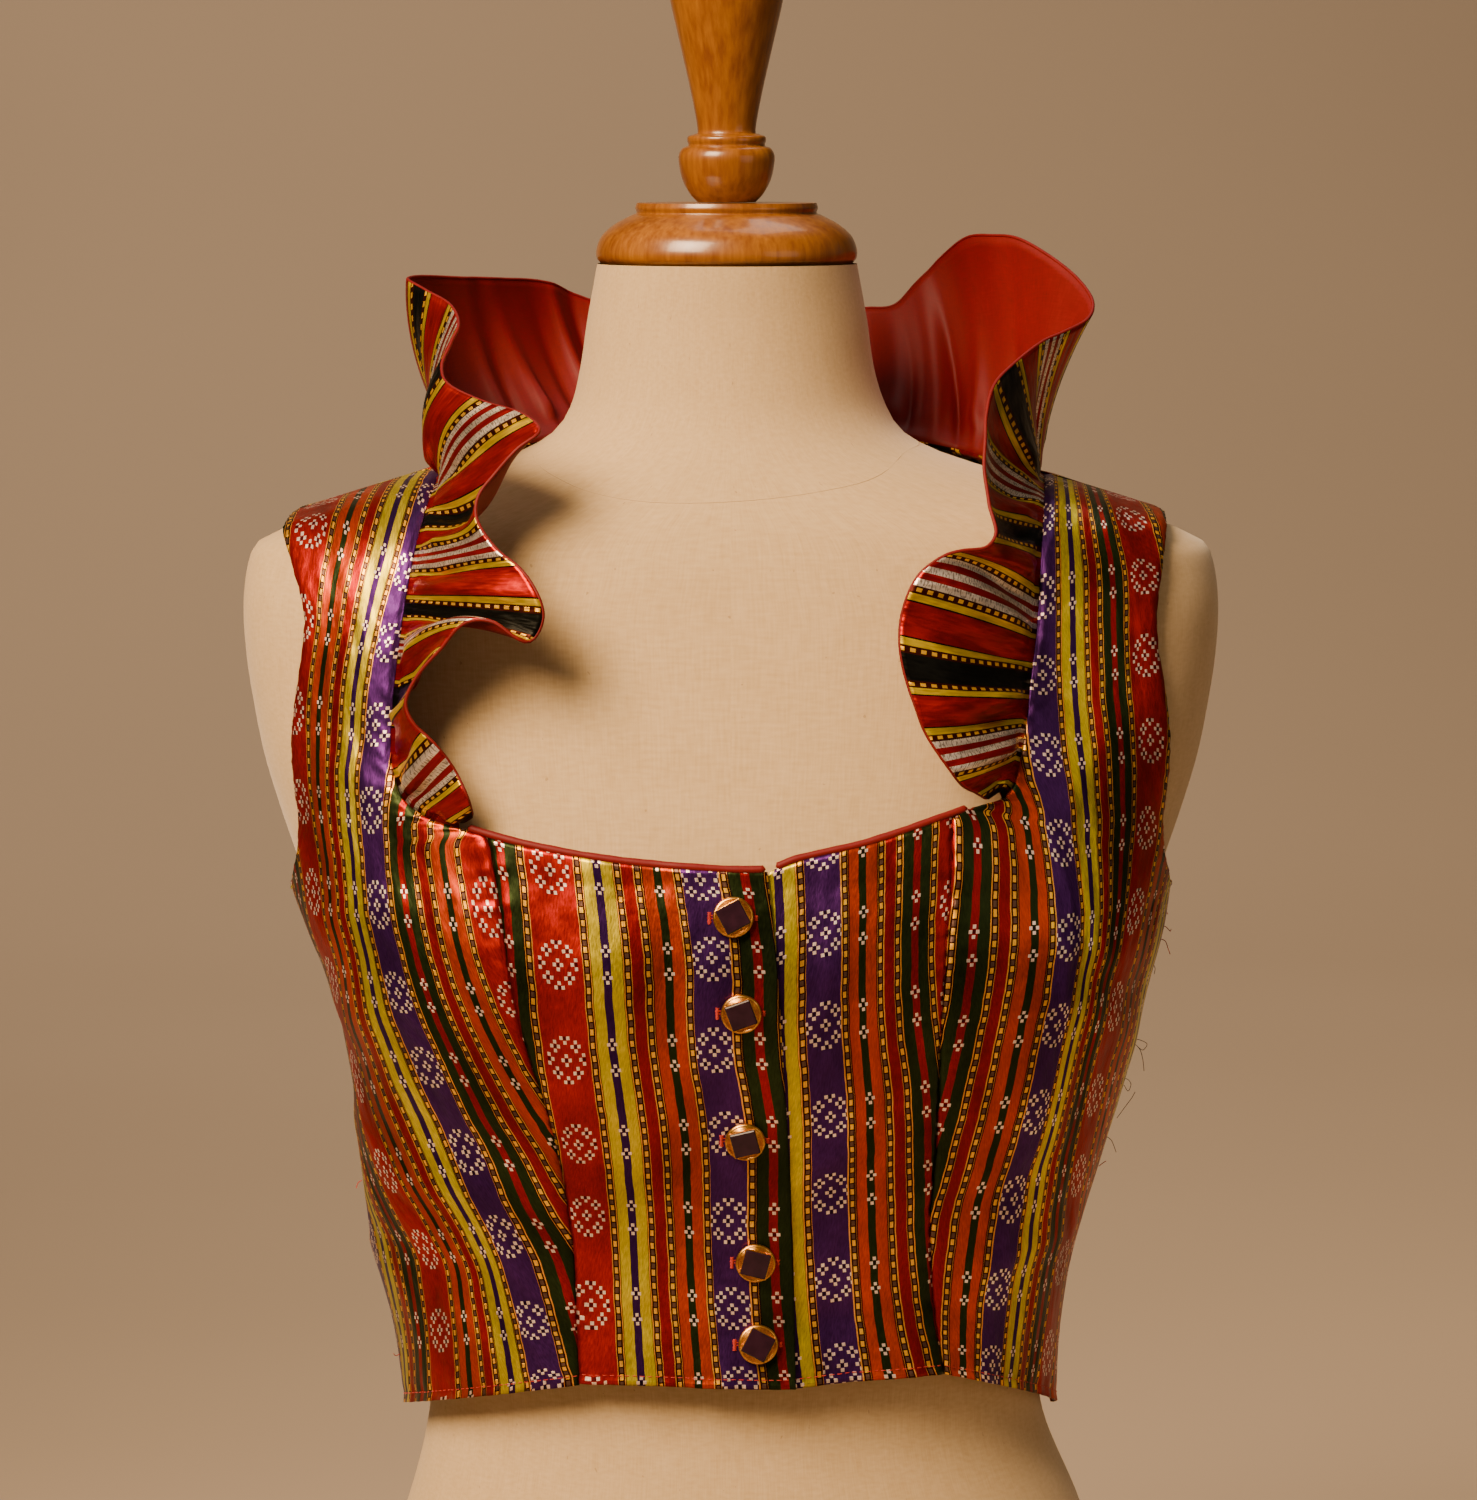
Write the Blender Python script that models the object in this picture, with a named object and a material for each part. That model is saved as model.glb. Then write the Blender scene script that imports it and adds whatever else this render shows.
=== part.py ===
"""Folk-dress vest with a gathered collar ruffle, buttoned on a table-top dress form.

Frame: metres, +Z up, the front of the vest faces -Y, the wearer's left is at +X.
The origin is under the middle of the whole piece, on the surface that it stands on.
Lengths in the tables are millimetres and are turned into metres by MM.
"""

import math

import bmesh
import bpy
from mathutils import Matrix, Vector

MM = 0.001

# Driving dimensions, millimetres
VEST_WALL = 1.6
SEAM_GAP = 0.3
SEAM_HALF = 0.25
STRAP_EASE = 4.6
STRAP_LIFT = 4.0
SHELL_WALL = 1.2
LINING_WALL = 1.0
RUFFLE_STAND_OFF = 2.6
LAYER_GAP = 0.4
EASE_FULL = 520.0
UNDERLAP = 20.0
LAP_MARGIN = 11.0
LAP_RUN = 14.0
LAP_DROP = 3.0
BINDING_HEIGHT = 2.6
BINDING_PROUD = 0.5
BINDING_SHOULDER = 0.7
BINDING_ROUND = 0.8
BINDING_START = -101.0
BINDING_FINISH = 91.0
BINDING_LAP_MARGINS = (0.5, 3.5)
BUTTON_DIAMETER = 15.5
BUTTON_THICKNESS = 2.4
BUTTON_STAND_OFF = 0.3
STONE_SIDE = 10.6
STONE_THICKNESS = 1.1
FORM_BOTTOM = 45.3
NECK_TOP = 697.0
WOOD_AXIS_X = -1.7
ORIGIN_SHIFT_Y = 4.9
HEM_LEVEL = 266.0
NECK_LEVEL = 478.0
LAP_TOP = 470.0

# Resolution
FORM_SEGMENTS = 36
WOOD_SEGMENTS = 28
BUTTON_SEGMENTS = 20
SIDE_COLUMNS = 8
CENTRE_COLUMNS = 7
CENTRE_ROWS = 14
BACK_LOWER_ROWS = 8
BASE_SEGMENTS = 40
RUFFLE_LEVELS = 5
PROFILE_STEPS = 48

# Heights between which strap rows change from section angle to straight columns
ANGLE_TOP = 500.0
STRAIGHT_FROM = 560.0
UNDERARM = 449.0

# Dress form sections: height, half width at -X, half width at +X, front, back, roundness
FORM_SECTIONS = (
    (45, 156, 158, 102, 106, 2.1),
    (52, 161, 163, 107, 111, 2.1),
    (75, 165, 168, 110, 115, 2.1),
    (115, 160, 165, 107, 113, 2.1),
    (160, 146, 153, 100, 107, 2.1),
    (198, 131, 141, 94, 96, 2.1),
    (235, 122, 126, 89, 82, 2.1),
    (262, 122, 124, 89, 79, 2.2),
    (295, 128, 127, 91, 79, 2.3),
    (332, 138, 137, 98, 84, 2.4),
    (370, 145, 149, 111, 92, 2.6),
    (410, 154, 160, 122, 99, 2.7),
    (447, 168, 168, 125, 104, 2.6),
    (463, 173, 173, 123, 105, 2.5),
    (483, 180, 180, 118, 106, 2.4),
    (503, 186, 186, 112, 107, 2.4),
    (523, 190, 190, 106, 107, 2.4),
    (543, 193, 193, 100, 106, 2.4),
    (563, 194, 194, 94, 104, 2.4),
    (579, 192, 192, 89, 100, 2.3),
    (587, 188, 188, 86, 97, 2.3),
    (592, 178, 178, 84, 95, 2.3),
    (598, 160, 160, 81, 92, 2.3),
    (605, 138, 138, 77, 88, 2.2),
    (613, 112, 112, 71, 82, 2.2),
    (622, 85, 84, 65, 75, 2.1),
    (630, 71, 69, 60, 69, 2.1),
    (640, 64, 62, 56, 64, 2.0),
    (655, 60, 57, 53, 59, 2.0),
    (675, 57, 54, 51, 54, 2.0),
    (697, 53, 50, 51, 52, 2.0),
)

# Outer face of the vest below the armholes, in the same columns
VEST_SECTIONS = (
    (230, 131, 131, 102, 90, 2.1),
    (262, 134, 132, 103, 89, 2.2),
    (295, 142, 136, 102, 88, 2.3),
    (332, 149, 146, 107, 91, 2.4),
    (370, 151, 157, 118, 98, 2.6),
    (410, 160, 166, 129, 105, 2.8),
    (432, 168, 172, 132, 108, 2.7),
    (449, 174.5, 175, 131, 110, 2.6),
    (465, 178, 178, 129, 111, 2.5),
)

# Rows of the side fronts: inner edge x and height, height at the side seam or armhole.
RIGHT_SIDE_ROWS = (
    (-59, 265, 238),
    (-60, 290, 271),
    (-61, 319, 305),
    (-66, 354, 348),
    (-72, 380, 378),
    (-81, 410, 410),
    (-85, 432, 434),
    (-87, 449, 449),
    (-88.5, 458, 451),
    (-90, 467, 455),
    (-93, 481, 462),
    (-104, 485, 468),
    (-116, 488, 474),
    (-126, 495, 483),
    (-130.5, 507, 497),
    (-131, 520, 513),
    (-130, 535, 530),
    (-127, 560, 560),
)
LEFT_SIDE_ROWS = (
    (84, 267, 238),
    (80, 290, 271),
    (78, 319, 305),
    (79, 354, 348),
    (80, 380, 378),
    (80.5, 408, 410),
    (82, 430, 434),
    (83, 448, 449),
    (84, 460, 451),
    (84.5, 472, 455),
    (85, 490, 462),
    (95, 493.5, 468),
    (104, 496, 474),
    (109, 502, 483),
    (112, 514, 497),
    (114, 526, 513),
    (115.5, 540, 530),
    (118, 560, 560),
)
# Rows between the straight rows and the shoulder line: x at the neck and at the armhole
RIGHT_SHOULDER_ROWS = ((-118, -176.0), (-112, -175.0))
LEFT_SHOULDER_ROWS = ((122, 171.0), (125, 173.0))

# Armhole edge: height against distance in front of or behind the side
ARMHOLE_FRONT = ((449, 0), (450.5, 16), (454, 31), (460, 43), (468, 51), (482, 57), (508, 62), (535, 65),
                 (560, 65))
ARMHOLE_BACK = ((449, 0), (450.5, 15), (454, 28), (460, 38), (468, 45), (482, 51), (508, 57), (535, 60),
                (560, 61))

# Rows where the ruffle starts on either side front
RIGHT_RUFFLE_ROW = 11
LEFT_RUFFLE_ROW = 12

# Shares of the way from the straight rows up to the shoulder line, for the shoulder rows
SHOULDER_SHARES = (0.5, 1.0)

# Princess seams, overlap edge and top edge of the two front panels: x against height
RIGHT_PRINCESS = ((265, -59), (290, -60), (319, -61), (354, -66), (380, -72), (410, -81), (445, -86),
                  (481, -93))
LEFT_PRINCESS = ((267, 84), (290, 80), (319, 78), (354, 79), (380, 80), (408, 80.5), (440, 83), (490, 85))
LAP_EDGE = ((265, 25), (319, 24), (356, 22.5), (397, 20), (436, 17.5), (470, 14))
FRONT_HEM = ((-132, 238), (-99, 254), (-78, 263), (-59, 265.5), (-35, 266), (25, 265), (46, 267), (84, 267),
             (97, 264), (118, 254), (131, 238))
FRONT_NECK = ((-104, 485), (-93, 482), (-80, 479), (-50, 474), (-19, 471), (14, 470), (26, 474), (53, 480),
              (85, 490), (104, 496))
BACK_HEM_SIDE = 238.0
BACK_HEM_CENTRE = 244.0

# Back panel columns: x at the shoulders, share of the way round at the waist, height of the top edge
BACK_COLUMNS = (
    (-175, 0.00, None),
    (-160, 0.06, None),
    (-143, 0.12, None),
    (-127, 0.17, None),
    (-112, 0.22, None),
    (-98, 0.27, 620.5),
    (-80, 0.32, 623.5),
    (-56, 0.38, 624),
    (-28, 0.44, 622),
    (0, 0.50, 620.5),
    (30, 0.56, 622.5),
    (56, 0.62, 625.5),
    (80, 0.68, 623.5),
    (100, 0.73, 619.5),
    (125, 0.78, None),
    (140, 0.83, None),
    (157, 0.89, None),
    (173, 1.00, None),
)
# Rows of the upper back: height at the armholes, height at the centre
BACK_ROWS = ((449, 449), (451, 461), (455, 472), (462, 483), (474, 495), (490, 507), (512, 522), (536, 538),
             (560, 554))
BACK_SHOULDER_SHARES = (0.2, 0.4, 0.6, 0.8, 1.0)

# Ruffle stations: place on the seam (0-1 right front, 1-2 back, 2-3 left front),
# rim x, y, height, and how far the cloth between seam and rim swells in x, y and height
RUFFLE_STATIONS = (
    (0.000, -98, -116, 490, 0, 0, 0),
    (0.050, -100, -123, 498, 0, -2, 0),
    (0.100, -105, -121, 508, 0, -3, 0),
    (0.150, -112, -123, 518, -1, -3, 0),
    (0.210, -120, -122, 525, -1, -2, 0),
    (0.270, -123, -121, 534, 0, -1, 0),
    (0.310, -119, -122, 544, 0, -1, 0),
    (0.350, -110, -125, 555, 0, -2, 2),
    (0.390, -101, -128, 564, -1, -3, 3),
    (0.420, -90, -131, 565, -1, -5, 5),
    (0.447, -81, -132, 560, -1, -6, 5),
    (0.470, -75, -132, 559, -1, -6, 4),
    (0.492, -71, -131, 567, -1, -6, 1),
    (0.515, -73, -129, 576, -1, -5, 1),
    (0.540, -80, -124, 585, -1, -4, 1),
    (0.570, -89, -117, 592, 0, -3, 0),
    (0.600, -95, -112, 601, 3, -3, -2),
    (0.630, -96, -109, 611, 5, -4, -4),
    (0.660, -90, -107, 620, 6, -4, -5),
    (0.690, -82, -107, 629, 4, -4, -4),
    (0.725, -73, -104, 636, -1, -4, 0),
    (0.765, -80, -92, 642, -3, -4, 3),
    (0.810, -96, -74, 646, -5, -3, 3),
    (0.850, -110, -57, 652, -7, -3, 0),
    (0.880, -113, -44, 659, -8, -3, 0),
    (0.910, -110, -34, 667, -7, -3, 0),
    (0.940, -107, -26, 674, -7, -2, 0),
    (0.970, -111, -9, 681, -7, 0, 0),
    (1.000, -121, 5, 686, -7, 2, 0),
    (1.045, -129, 19, 690, -7, 4, 0),
    (1.095, -126, 36, 691, -7, 7, 0),
    (1.160, -112, 56, 690, -5, 10, -2),
    (1.240, -94, 75, 689, -3, 11, -3),
    (1.320, -76, 92, 687, -3, 9, -4),
    (1.390, -58, 104, 679, -3, 4, -4),
    (1.450, -38, 107, 671, 0, 2, -3),
    (1.510, -14, 104, 668, 0, 4, -2),
    (1.570, 10, 108, 668, 0, 8, -2),
    (1.630, 34, 112, 671, 1, 8, -2),
    (1.690, 54, 106, 676, 3, 3, -2),
    (1.735, 67, 96, 677, 4, -2, -2),
    (1.775, 76, 92, 686, 4, 2, -4),
    (1.820, 87, 85, 698, 4, 7, -5),
    (1.860, 97, 73, 706, 5, 7, -6),
    (1.890, 106, 58, 707, 6, 5, -6),
    (1.920, 116, 43, 706, 5, 5, -5),
    (1.945, 127, 27, 700, 2, 5, -4),
    (1.965, 137, 11, 692, -2, 4, -3),
    (1.985, 143, -6, 683, -4, 0, -2),
    (2.010, 141, -18, 676, -4, -2, 0),
    (2.040, 131, -31, 671, -2, -3, 2),
    (2.075, 121, -43, 667, -1, -3, 3),
    (2.115, 110, -60, 660, 0, -4, 3),
    (2.160, 101, -77, 652, -3, -6, 0),
    (2.220, 98, -90, 638, -5, -5, 0),
    (2.295, 97, -100, 623, -6, -3, 0),
    (2.370, 98, -109, 609, -4, -2, 0),
    (2.440, 101, -116, 599, -2, -1, 0),
    (2.490, 97, -120, 593, 0, -1, 1),
    (2.530, 88, -123, 592, 0, -3, 2),
    (2.570, 79, -126, 589, 0, -5, 3),
    (2.610, 71, -128, 583, 1, -6, 2),
    (2.655, 66, -130, 572, 1, -7, 1),
    (2.710, 64, -131, 557, 1, -7, 0),
    (2.765, 67, -132, 541, 1, -6, 0),
    (2.820, 73, -133, 525, 1, -5, 0),
    (2.870, 81, -133, 512, 1, -4, 0),
    (2.920, 88, -128, 503, 0, -2, 0),
    (2.960, 94, -120, 499, 0, -1, 0),
    (3.000, 98, -114, 496, 0, 0, 0),
)

# Buttons: x, height, turn of the square stone in degrees
BUTTONS = (
    (1, 453, 28),
    (4, 417, 20),
    (5.5, 366, 14),
    (9.5, 316, -14),
    (10.5, 283, -28),
)

# Turned wood: radius and height from the bottom up
CAP_PROFILE = ((50.0, 697.3), (51.6, 699.5), (51.6, 703.0), (49.5, 708.0), (44.5, 712.5), (38.0, 716.0),
               (35.8, 717.0), (36.2, 719.0), (35.6, 721.0))
FINIAL_PROFILE = ((11.5, 721.3), (14.5, 724.5), (17.5, 730.0), (18.9, 736.5), (18.9, 740.0), (17.5, 742.5),
                  (15.2, 743.6), (15.6, 745.5), (15.2, 747.2), (12.6, 748.2), (11.5, 750.0), (14.0, 764.0),
                  (18.3, 783.0), (22.4, 801.0), (24.5, 814.0), (24.0, 826.0), (20.5, 837.0), (13.5, 845.0),
                  (5.0, 849.0))
BASE_PROFILE = ((124.0, 0.0), (128.0, 3.5), (128.0, 12.0), (124.0, 18.0), (112.0, 21.5), (60.0, 23.5),
                (44.0, 26.0), (38.0, 31.0), (38.0, 38.0), (44.0, 43.0), (46.0, 45.0))


def lerp(a, b, share):
    """Value a share of the way from a to b."""
    return a + (b - a) * share


def smoothstep(low, high, value):
    """Soft step from 0 at low to 1 at high."""
    share = min(1.0, max(0.0, (value - low) / (high - low)))
    return share * share * (3.0 - 2.0 * share)


def along(table, key, column):
    """Smooth value of a column at a key in the table's first column, kept between its ends."""
    if key <= table[0][0]:
        return table[0][column]
    if key >= table[-1][0]:
        return table[-1][column]
    index = next(i for i in range(len(table) - 1) if key <= table[i + 1][0])
    left, right = table[index], table[index + 1]
    span = right[0] - left[0]
    before = table[max(0, index - 1)]
    after = table[min(len(table) - 1, index + 2)]
    slope_in = (right[column] - before[column]) / (right[0] - before[0])
    slope_out = (after[column] - left[column]) / (after[0] - left[0])
    t = (key - left[0]) / span
    t2, t3 = t * t, t * t * t
    return (
        (2 * t3 - 3 * t2 + 1) * left[column] + (t3 - 2 * t2 + t) * span * slope_in
        + (-2 * t3 + 3 * t2) * right[column] + (t3 - t2) * span * slope_out
    )


def straight(table, key):
    """Value between the two nearest rows of a two-column table."""
    for (k0, v0), (k1, v1) in zip(table, table[1:]):
        if key <= k1:
            return lerp(v0, v1, max(0.0, (key - k0) / (k1 - k0)))
    return table[-1][1]


def form_section(height):
    """Half widths, depths and roundness of the dress form at a height."""
    return [along(FORM_SECTIONS, height, column) for column in range(1, 6)]


def vest_section(height):
    """Half widths, depths and roundness of the outer face of the vest at a height."""
    share = smoothstep(UNDERARM, EASE_FULL, height)
    lift = STRAP_LIFT * smoothstep(ANGLE_TOP, STRAIGHT_FROM, height)
    above = form_section(height - lift)
    above = [value + STRAP_EASE for value in above[:4]] + above[4:]
    if share >= 1.0:
        return above
    below = [along(VEST_SECTIONS, height, column) for column in range(1, 6)]
    return [lerp(low, high, share) for low, high in zip(below, above)]


def section_angle(x, height, section=vest_section):
    """Angle round a section, 0 at the centre and 90 degrees at the side, where x lies."""
    left, right, _, _, power = section(height)
    width = left if x < 0 else right
    ratio = min(1.0, abs(x) / width)
    return math.copysign(math.asin(ratio ** (power / 2.0)), x)


def section_point(angle, height, back=False, section=vest_section):
    """Point of a section at an angle from its centre, in front or behind."""
    left, right, front, rear, power = section(height)
    sine, cosine = math.sin(angle), max(0.0, math.cos(angle))
    width = left if sine < 0 else right
    x = math.copysign(width * abs(sine) ** (2.0 / power), sine)
    y = cosine ** (2.0 / power)
    return Vector((x, rear * y if back else -front * y, height))


def field(point, section=vest_section):
    """Signed value that is 0 on the surface, less inside and more outside."""
    left, right, front, rear, power = section(point.z)
    width = left if point.x < 0 else right
    depth = front if point.y < 0 else rear
    return (abs(point.x) / width) ** power + (abs(point.y) / depth) ** power - 1.0


def surface_normal(point):
    """Outward normal of the vest's outer face."""
    step = 0.5
    gradient = Vector((
        field(point + Vector((step, 0, 0))) - field(point - Vector((step, 0, 0))),
        field(point + Vector((0, step, 0))) - field(point - Vector((0, step, 0))),
        field(point + Vector((0, 0, step))) - field(point - Vector((0, 0, step))),
    ))
    return gradient.normalized()


def crest_height(x):
    """Height at which the shoulder ends above a given x."""
    low, high = STRAIGHT_FROM, NECK_TOP
    for _ in range(30):
        middle = (low + high) / 2.0
        left, right = vest_section(middle)[:2]
        if abs(x) < (left if x < 0 else right):
            low = middle
        else:
            high = middle
    return low


def profile_point(x, share, start, back=False, top=None):
    """Point at a share of the arc from the start height up to the shoulder line, or to a lower top."""
    finish = crest_height(x) if top is None else top
    points = []
    for step in range(PROFILE_STEPS + 1):
        rise = 1.0 - (1.0 - step / PROFILE_STEPS) ** 2
        height = lerp(start, finish, rise)
        points.append(section_point(section_angle(x, height), height, back))
    if top is None:
        points[-1].y = 0.0
    lengths = [0.0]
    for first, second in zip(points, points[1:]):
        lengths.append(lengths[-1] + (second - first).length)
    goal = share * lengths[-1]
    for index in range(PROFILE_STEPS):
        if goal <= lengths[index + 1]:
            span = max(1e-9, lengths[index + 1] - lengths[index])
            return points[index].lerp(points[index + 1], (goal - lengths[index]) / span)
    return points[-1]


def edge_angle(side, height, armhole, back=False):
    """Angle of the side seam, or above the underarm of the armhole edge, on one side of the vest."""
    front, rear = vest_section(height)[2:4]
    power = vest_section(height)[4]
    reach = straight(armhole, height) if height > UNDERARM else 0.0
    ratio = min(1.0, reach / (rear if back else front))
    return math.copysign(math.acos(ratio ** (power / 2.0)), side)


def level_point(angle, level_x, height, back=False):
    """Point at an angle, which gives way higher up to a straight column at a fixed x."""
    turned = section_point(angle, height, back)
    if height <= ANGLE_TOP:
        return turned
    x = lerp(turned.x, level_x, smoothstep(ANGLE_TOP, STRAIGHT_FROM, height))
    return section_point(section_angle(x, height), height, back)


def strap_row(x_in, z_in, z_out):
    """Row of a front side panel from its inner edge to the side seam or armhole."""
    side = math.copysign(1.0, x_in)
    start = section_angle(x_in, z_in)
    end = edge_angle(side, z_out, ARMHOLE_FRONT)
    x_out = section_point(end, z_out).x
    row = []
    for c in range(SIDE_COLUMNS + 1):
        share = c / SIDE_COLUMNS
        row.append(level_point(lerp(start, end, share), lerp(x_in, x_out, share), lerp(z_in, z_out, share)))
    return row


def side_panel_grid(rows, shoulder_rows):
    """Outer face of a front side panel from the hem over the bust and up to the shoulder line."""
    grid = [strap_row(*row) for row in rows]
    last_x = (rows[-1][0], grid[-1][-1].x)
    reached = 0.0
    for (x_in, x_out), target in zip(shoulder_rows, SHOULDER_SHARES):
        for step in (0.5, 1.0):
            inner, outer = lerp(last_x[0], x_in, step), lerp(last_x[1], x_out, step)
            rise = lerp(reached, target, step)
            grid.append([profile_point(lerp(inner, outer, c / SIDE_COLUMNS), rise, STRAIGHT_FROM)
                         for c in range(SIDE_COLUMNS + 1)])
        last_x, reached = (x_in, x_out), target
    return grid


def centre_panel_grid(inner_edge, outer_edge, shift, drop):
    """Outer face of a front panel between two edges, from the hem to the neckline less a drop."""
    grid = []
    for r in range(CENTRE_ROWS + 1):
        line = []
        for c in range(CENTRE_COLUMNS + 1):
            share = c / CENTRE_COLUMNS
            hem = straight(FRONT_HEM, lerp(inner_edge(HEM_LEVEL), outer_edge(HEM_LEVEL), share))
            x_top = lerp(inner_edge(NECK_LEVEL), outer_edge(NECK_LEVEL), share)
            neck = straight(FRONT_NECK, x_top)
            top = neck - (drop if x_top < straight(LAP_EDGE, LAP_TOP) else 0.0)
            height = lerp(hem, top, r / CENTRE_ROWS)
            x = lerp(inner_edge(height), outer_edge(height), share)
            point = section_point(section_angle(x, height), height)
            line.append(point + surface_normal(point) * shift(x, height))
        grid.append(line)
    return grid


def back_row(heights):
    """Row of the upper back below the shoulders, one point for each column."""
    at_edge, at_centre = heights
    line = []
    for x, share, _ in BACK_COLUMNS:
        height = lerp(at_centre, at_edge, abs(2.0 * share - 1.0) ** 1.5)
        start = edge_angle(-1, height, ARMHOLE_BACK, back=True)
        end = edge_angle(1, height, ARMHOLE_BACK, back=True)
        line.append(level_point(lerp(start, end, share), x, height, back=True))
    return line


def back_grid():
    """Outer face of the back, from the hem to the shoulder lines and the back neckline."""
    grid = []
    for r in range(BACK_LOWER_ROWS):
        line = []
        for _, share, _ in BACK_COLUMNS:
            hem = lerp(BACK_HEM_CENTRE, BACK_HEM_SIDE, abs(2.0 * share - 1.0) ** 2)
            height = lerp(hem, UNDERARM, r / BACK_LOWER_ROWS)
            line.append(section_point(math.pi * (share - 0.5), height, back=True))
        grid.append(line)
    grid += [back_row(heights) for heights in BACK_ROWS]
    level = grid[-1]
    for rise in BACK_SHOULDER_SHARES:
        line = []
        for start, (x, _, top) in zip(level, BACK_COLUMNS):
            line.append(profile_point(lerp(start.x, x, rise), rise, start.z, back=True, top=top))
        grid.append(line)
    return grid


def lap_raise(x, height):
    """How far the upper front panel is lifted over the panel under it."""
    distance = straight(LAP_EDGE, height) - x
    level = UNDERLAP + LAP_MARGIN
    return (VEST_WALL + SEAM_GAP) * (1.0 - smoothstep(level, level + LAP_RUN, distance))


def flat(_x, _height):
    """No lift: the cloth lies on the section."""
    return 0.0


def new_material(name, colour, roughness, metallic=0.0):
    """Principled material of one colour."""
    material = bpy.data.materials.new(name)
    material.use_nodes = True
    shader = material.node_tree.nodes["Principled BSDF"]
    shader.inputs["Base Color"].default_value = (*colour, 1.0)
    shader.inputs["Roughness"].default_value = roughness
    shader.inputs["Metallic"].default_value = metallic
    material.diffuse_color = (*colour, 1.0)
    return material


def add_object(name, bm, material, smooth=True):
    """Object made of a finished bmesh, given in millimetres and moved into the part's frame."""
    bmesh.ops.transform(bm, matrix=Matrix.Scale(MM, 4), verts=bm.verts)
    bmesh.ops.translate(bm, vec=(0.0, ORIGIN_SHIFT_Y * MM, 0.0), verts=bm.verts)
    bmesh.ops.recalc_face_normals(bm, faces=bm.faces)
    mesh = bpy.data.meshes.new(name)
    bm.to_mesh(mesh)
    bm.free()
    mesh.materials.append(material)
    if smooth:
        mesh.shade_smooth()
        mesh.set_sharp_from_angle(angle=math.radians(40.0))
    built = bpy.data.objects.new(name, mesh)
    bpy.context.scene.collection.objects.link(built)
    return built


def wall_mesh(outer, inner):
    """Closed wall between two grids with the same rows, columns and diagonals."""
    bm = bmesh.new()
    layers = [[[bm.verts.new(point) for point in row] for row in grid] for grid in (outer, inner)]
    a, b = layers
    rows, columns = len(outer), len(outer[0])
    for r in range(rows - 1):
        for c in range(columns - 1):
            bm.faces.new((a[r][c], a[r][c + 1], a[r + 1][c + 1]))
            bm.faces.new((a[r][c], a[r + 1][c + 1], a[r + 1][c]))
            bm.faces.new((b[r][c], b[r + 1][c + 1], b[r][c + 1]))
            bm.faces.new((b[r][c], b[r + 1][c], b[r + 1][c + 1]))
    loop = [(0, c) for c in range(columns)] + [(r, columns - 1) for r in range(1, rows)]
    loop += [(rows - 1, c) for c in range(columns - 2, -1, -1)] + [(r, 0) for r in range(rows - 2, 0, -1)]
    for (r0, c0), (r1, c1) in zip(loop, loop[1:] + loop[:1]):
        bm.faces.new((layers[0][r0][c0], layers[1][r0][c0], layers[1][r1][c1], layers[0][r1][c1]))
    return bm


def add_cloth_wall(name, grid, material):
    """Cloth panel whose outer face is the grid."""
    inner = [[point - surface_normal(point) * VEST_WALL for point in row] for row in grid]
    return add_object(name, wall_mesh(grid, inner), material)


def inset_columns(grid, first, last):
    """Grid with its first and last columns drawn back from the seams by the given lengths."""
    for row in grid:
        for index, neighbour, length in ((0, 1, first), (-1, -2, last)):
            away = (row[neighbour] - row[index]).normalized()
            row[index] = row[index] + away * length
    return grid


def inset_rows(grid, last):
    """Grid with its last row drawn back by a length."""
    for c, point in enumerate(grid[-1]):
        grid[-1][c] = point + (grid[-2][c] - point).normalized() * last
    return grid


def lathe_mesh(profile, centre_x, segments):
    """Closed turned body from a profile of radius and height."""
    bm = bmesh.new()
    rings = []
    for radius, height in profile:
        ring = []
        for index in range(segments):
            angle = 2.0 * math.pi * index / segments
            ring.append(bm.verts.new((centre_x + radius * math.cos(angle), radius * math.sin(angle), height)))
        rings.append(ring)
    for low, high in zip(rings, rings[1:]):
        for i in range(segments):
            j = (i + 1) % segments
            bm.faces.new((low[i], low[j], high[j], high[i]))
    bm.faces.new(list(reversed(rings[0])))
    bm.faces.new(rings[-1])
    return bm


def build_form(material):
    """Torso of the dress form with its neck, one closed body."""
    heights = [FORM_BOTTOM] + [float(row[0]) for row in FORM_SECTIONS[1:]]
    bm = bmesh.new()
    rings = []
    for height in heights:
        ring = []
        for index in range(FORM_SEGMENTS):
            turn = 2.0 * math.pi * index / FORM_SEGMENTS
            angle = math.asin(math.sin(turn))
            point = section_point(angle, height, back=math.cos(turn) < 0, section=form_section)
            ring.append(bm.verts.new(point))
        rings.append(ring)
    for low, high in zip(rings, rings[1:]):
        for i in range(FORM_SEGMENTS):
            j = (i + 1) % FORM_SEGMENTS
            bm.faces.new((low[i], low[j], high[j], high[i]))
    bm.faces.new(list(reversed(rings[0])))
    bm.faces.new(rings[-1])
    add_object("dress_form", bm, material)


def seam_path(right_side, back_top, left_side):
    """Neck seam from the right front end round the back of the neck to the left front end."""
    right = [row[0].copy() for row in right_side[RIGHT_RUFFLE_ROW:]]
    left = [row[0].copy() for row in reversed(left_side[LEFT_RUFFLE_ROW:])]
    neck_from, neck_to = RIGHT_SHOULDER_ROWS[-1][0], LEFT_SHOULDER_ROWS[-1][0]
    back = [point.copy() for point, (x, _, _) in zip(back_top, BACK_COLUMNS) if neck_from <= x <= neck_to]
    return right, back, left


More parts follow.
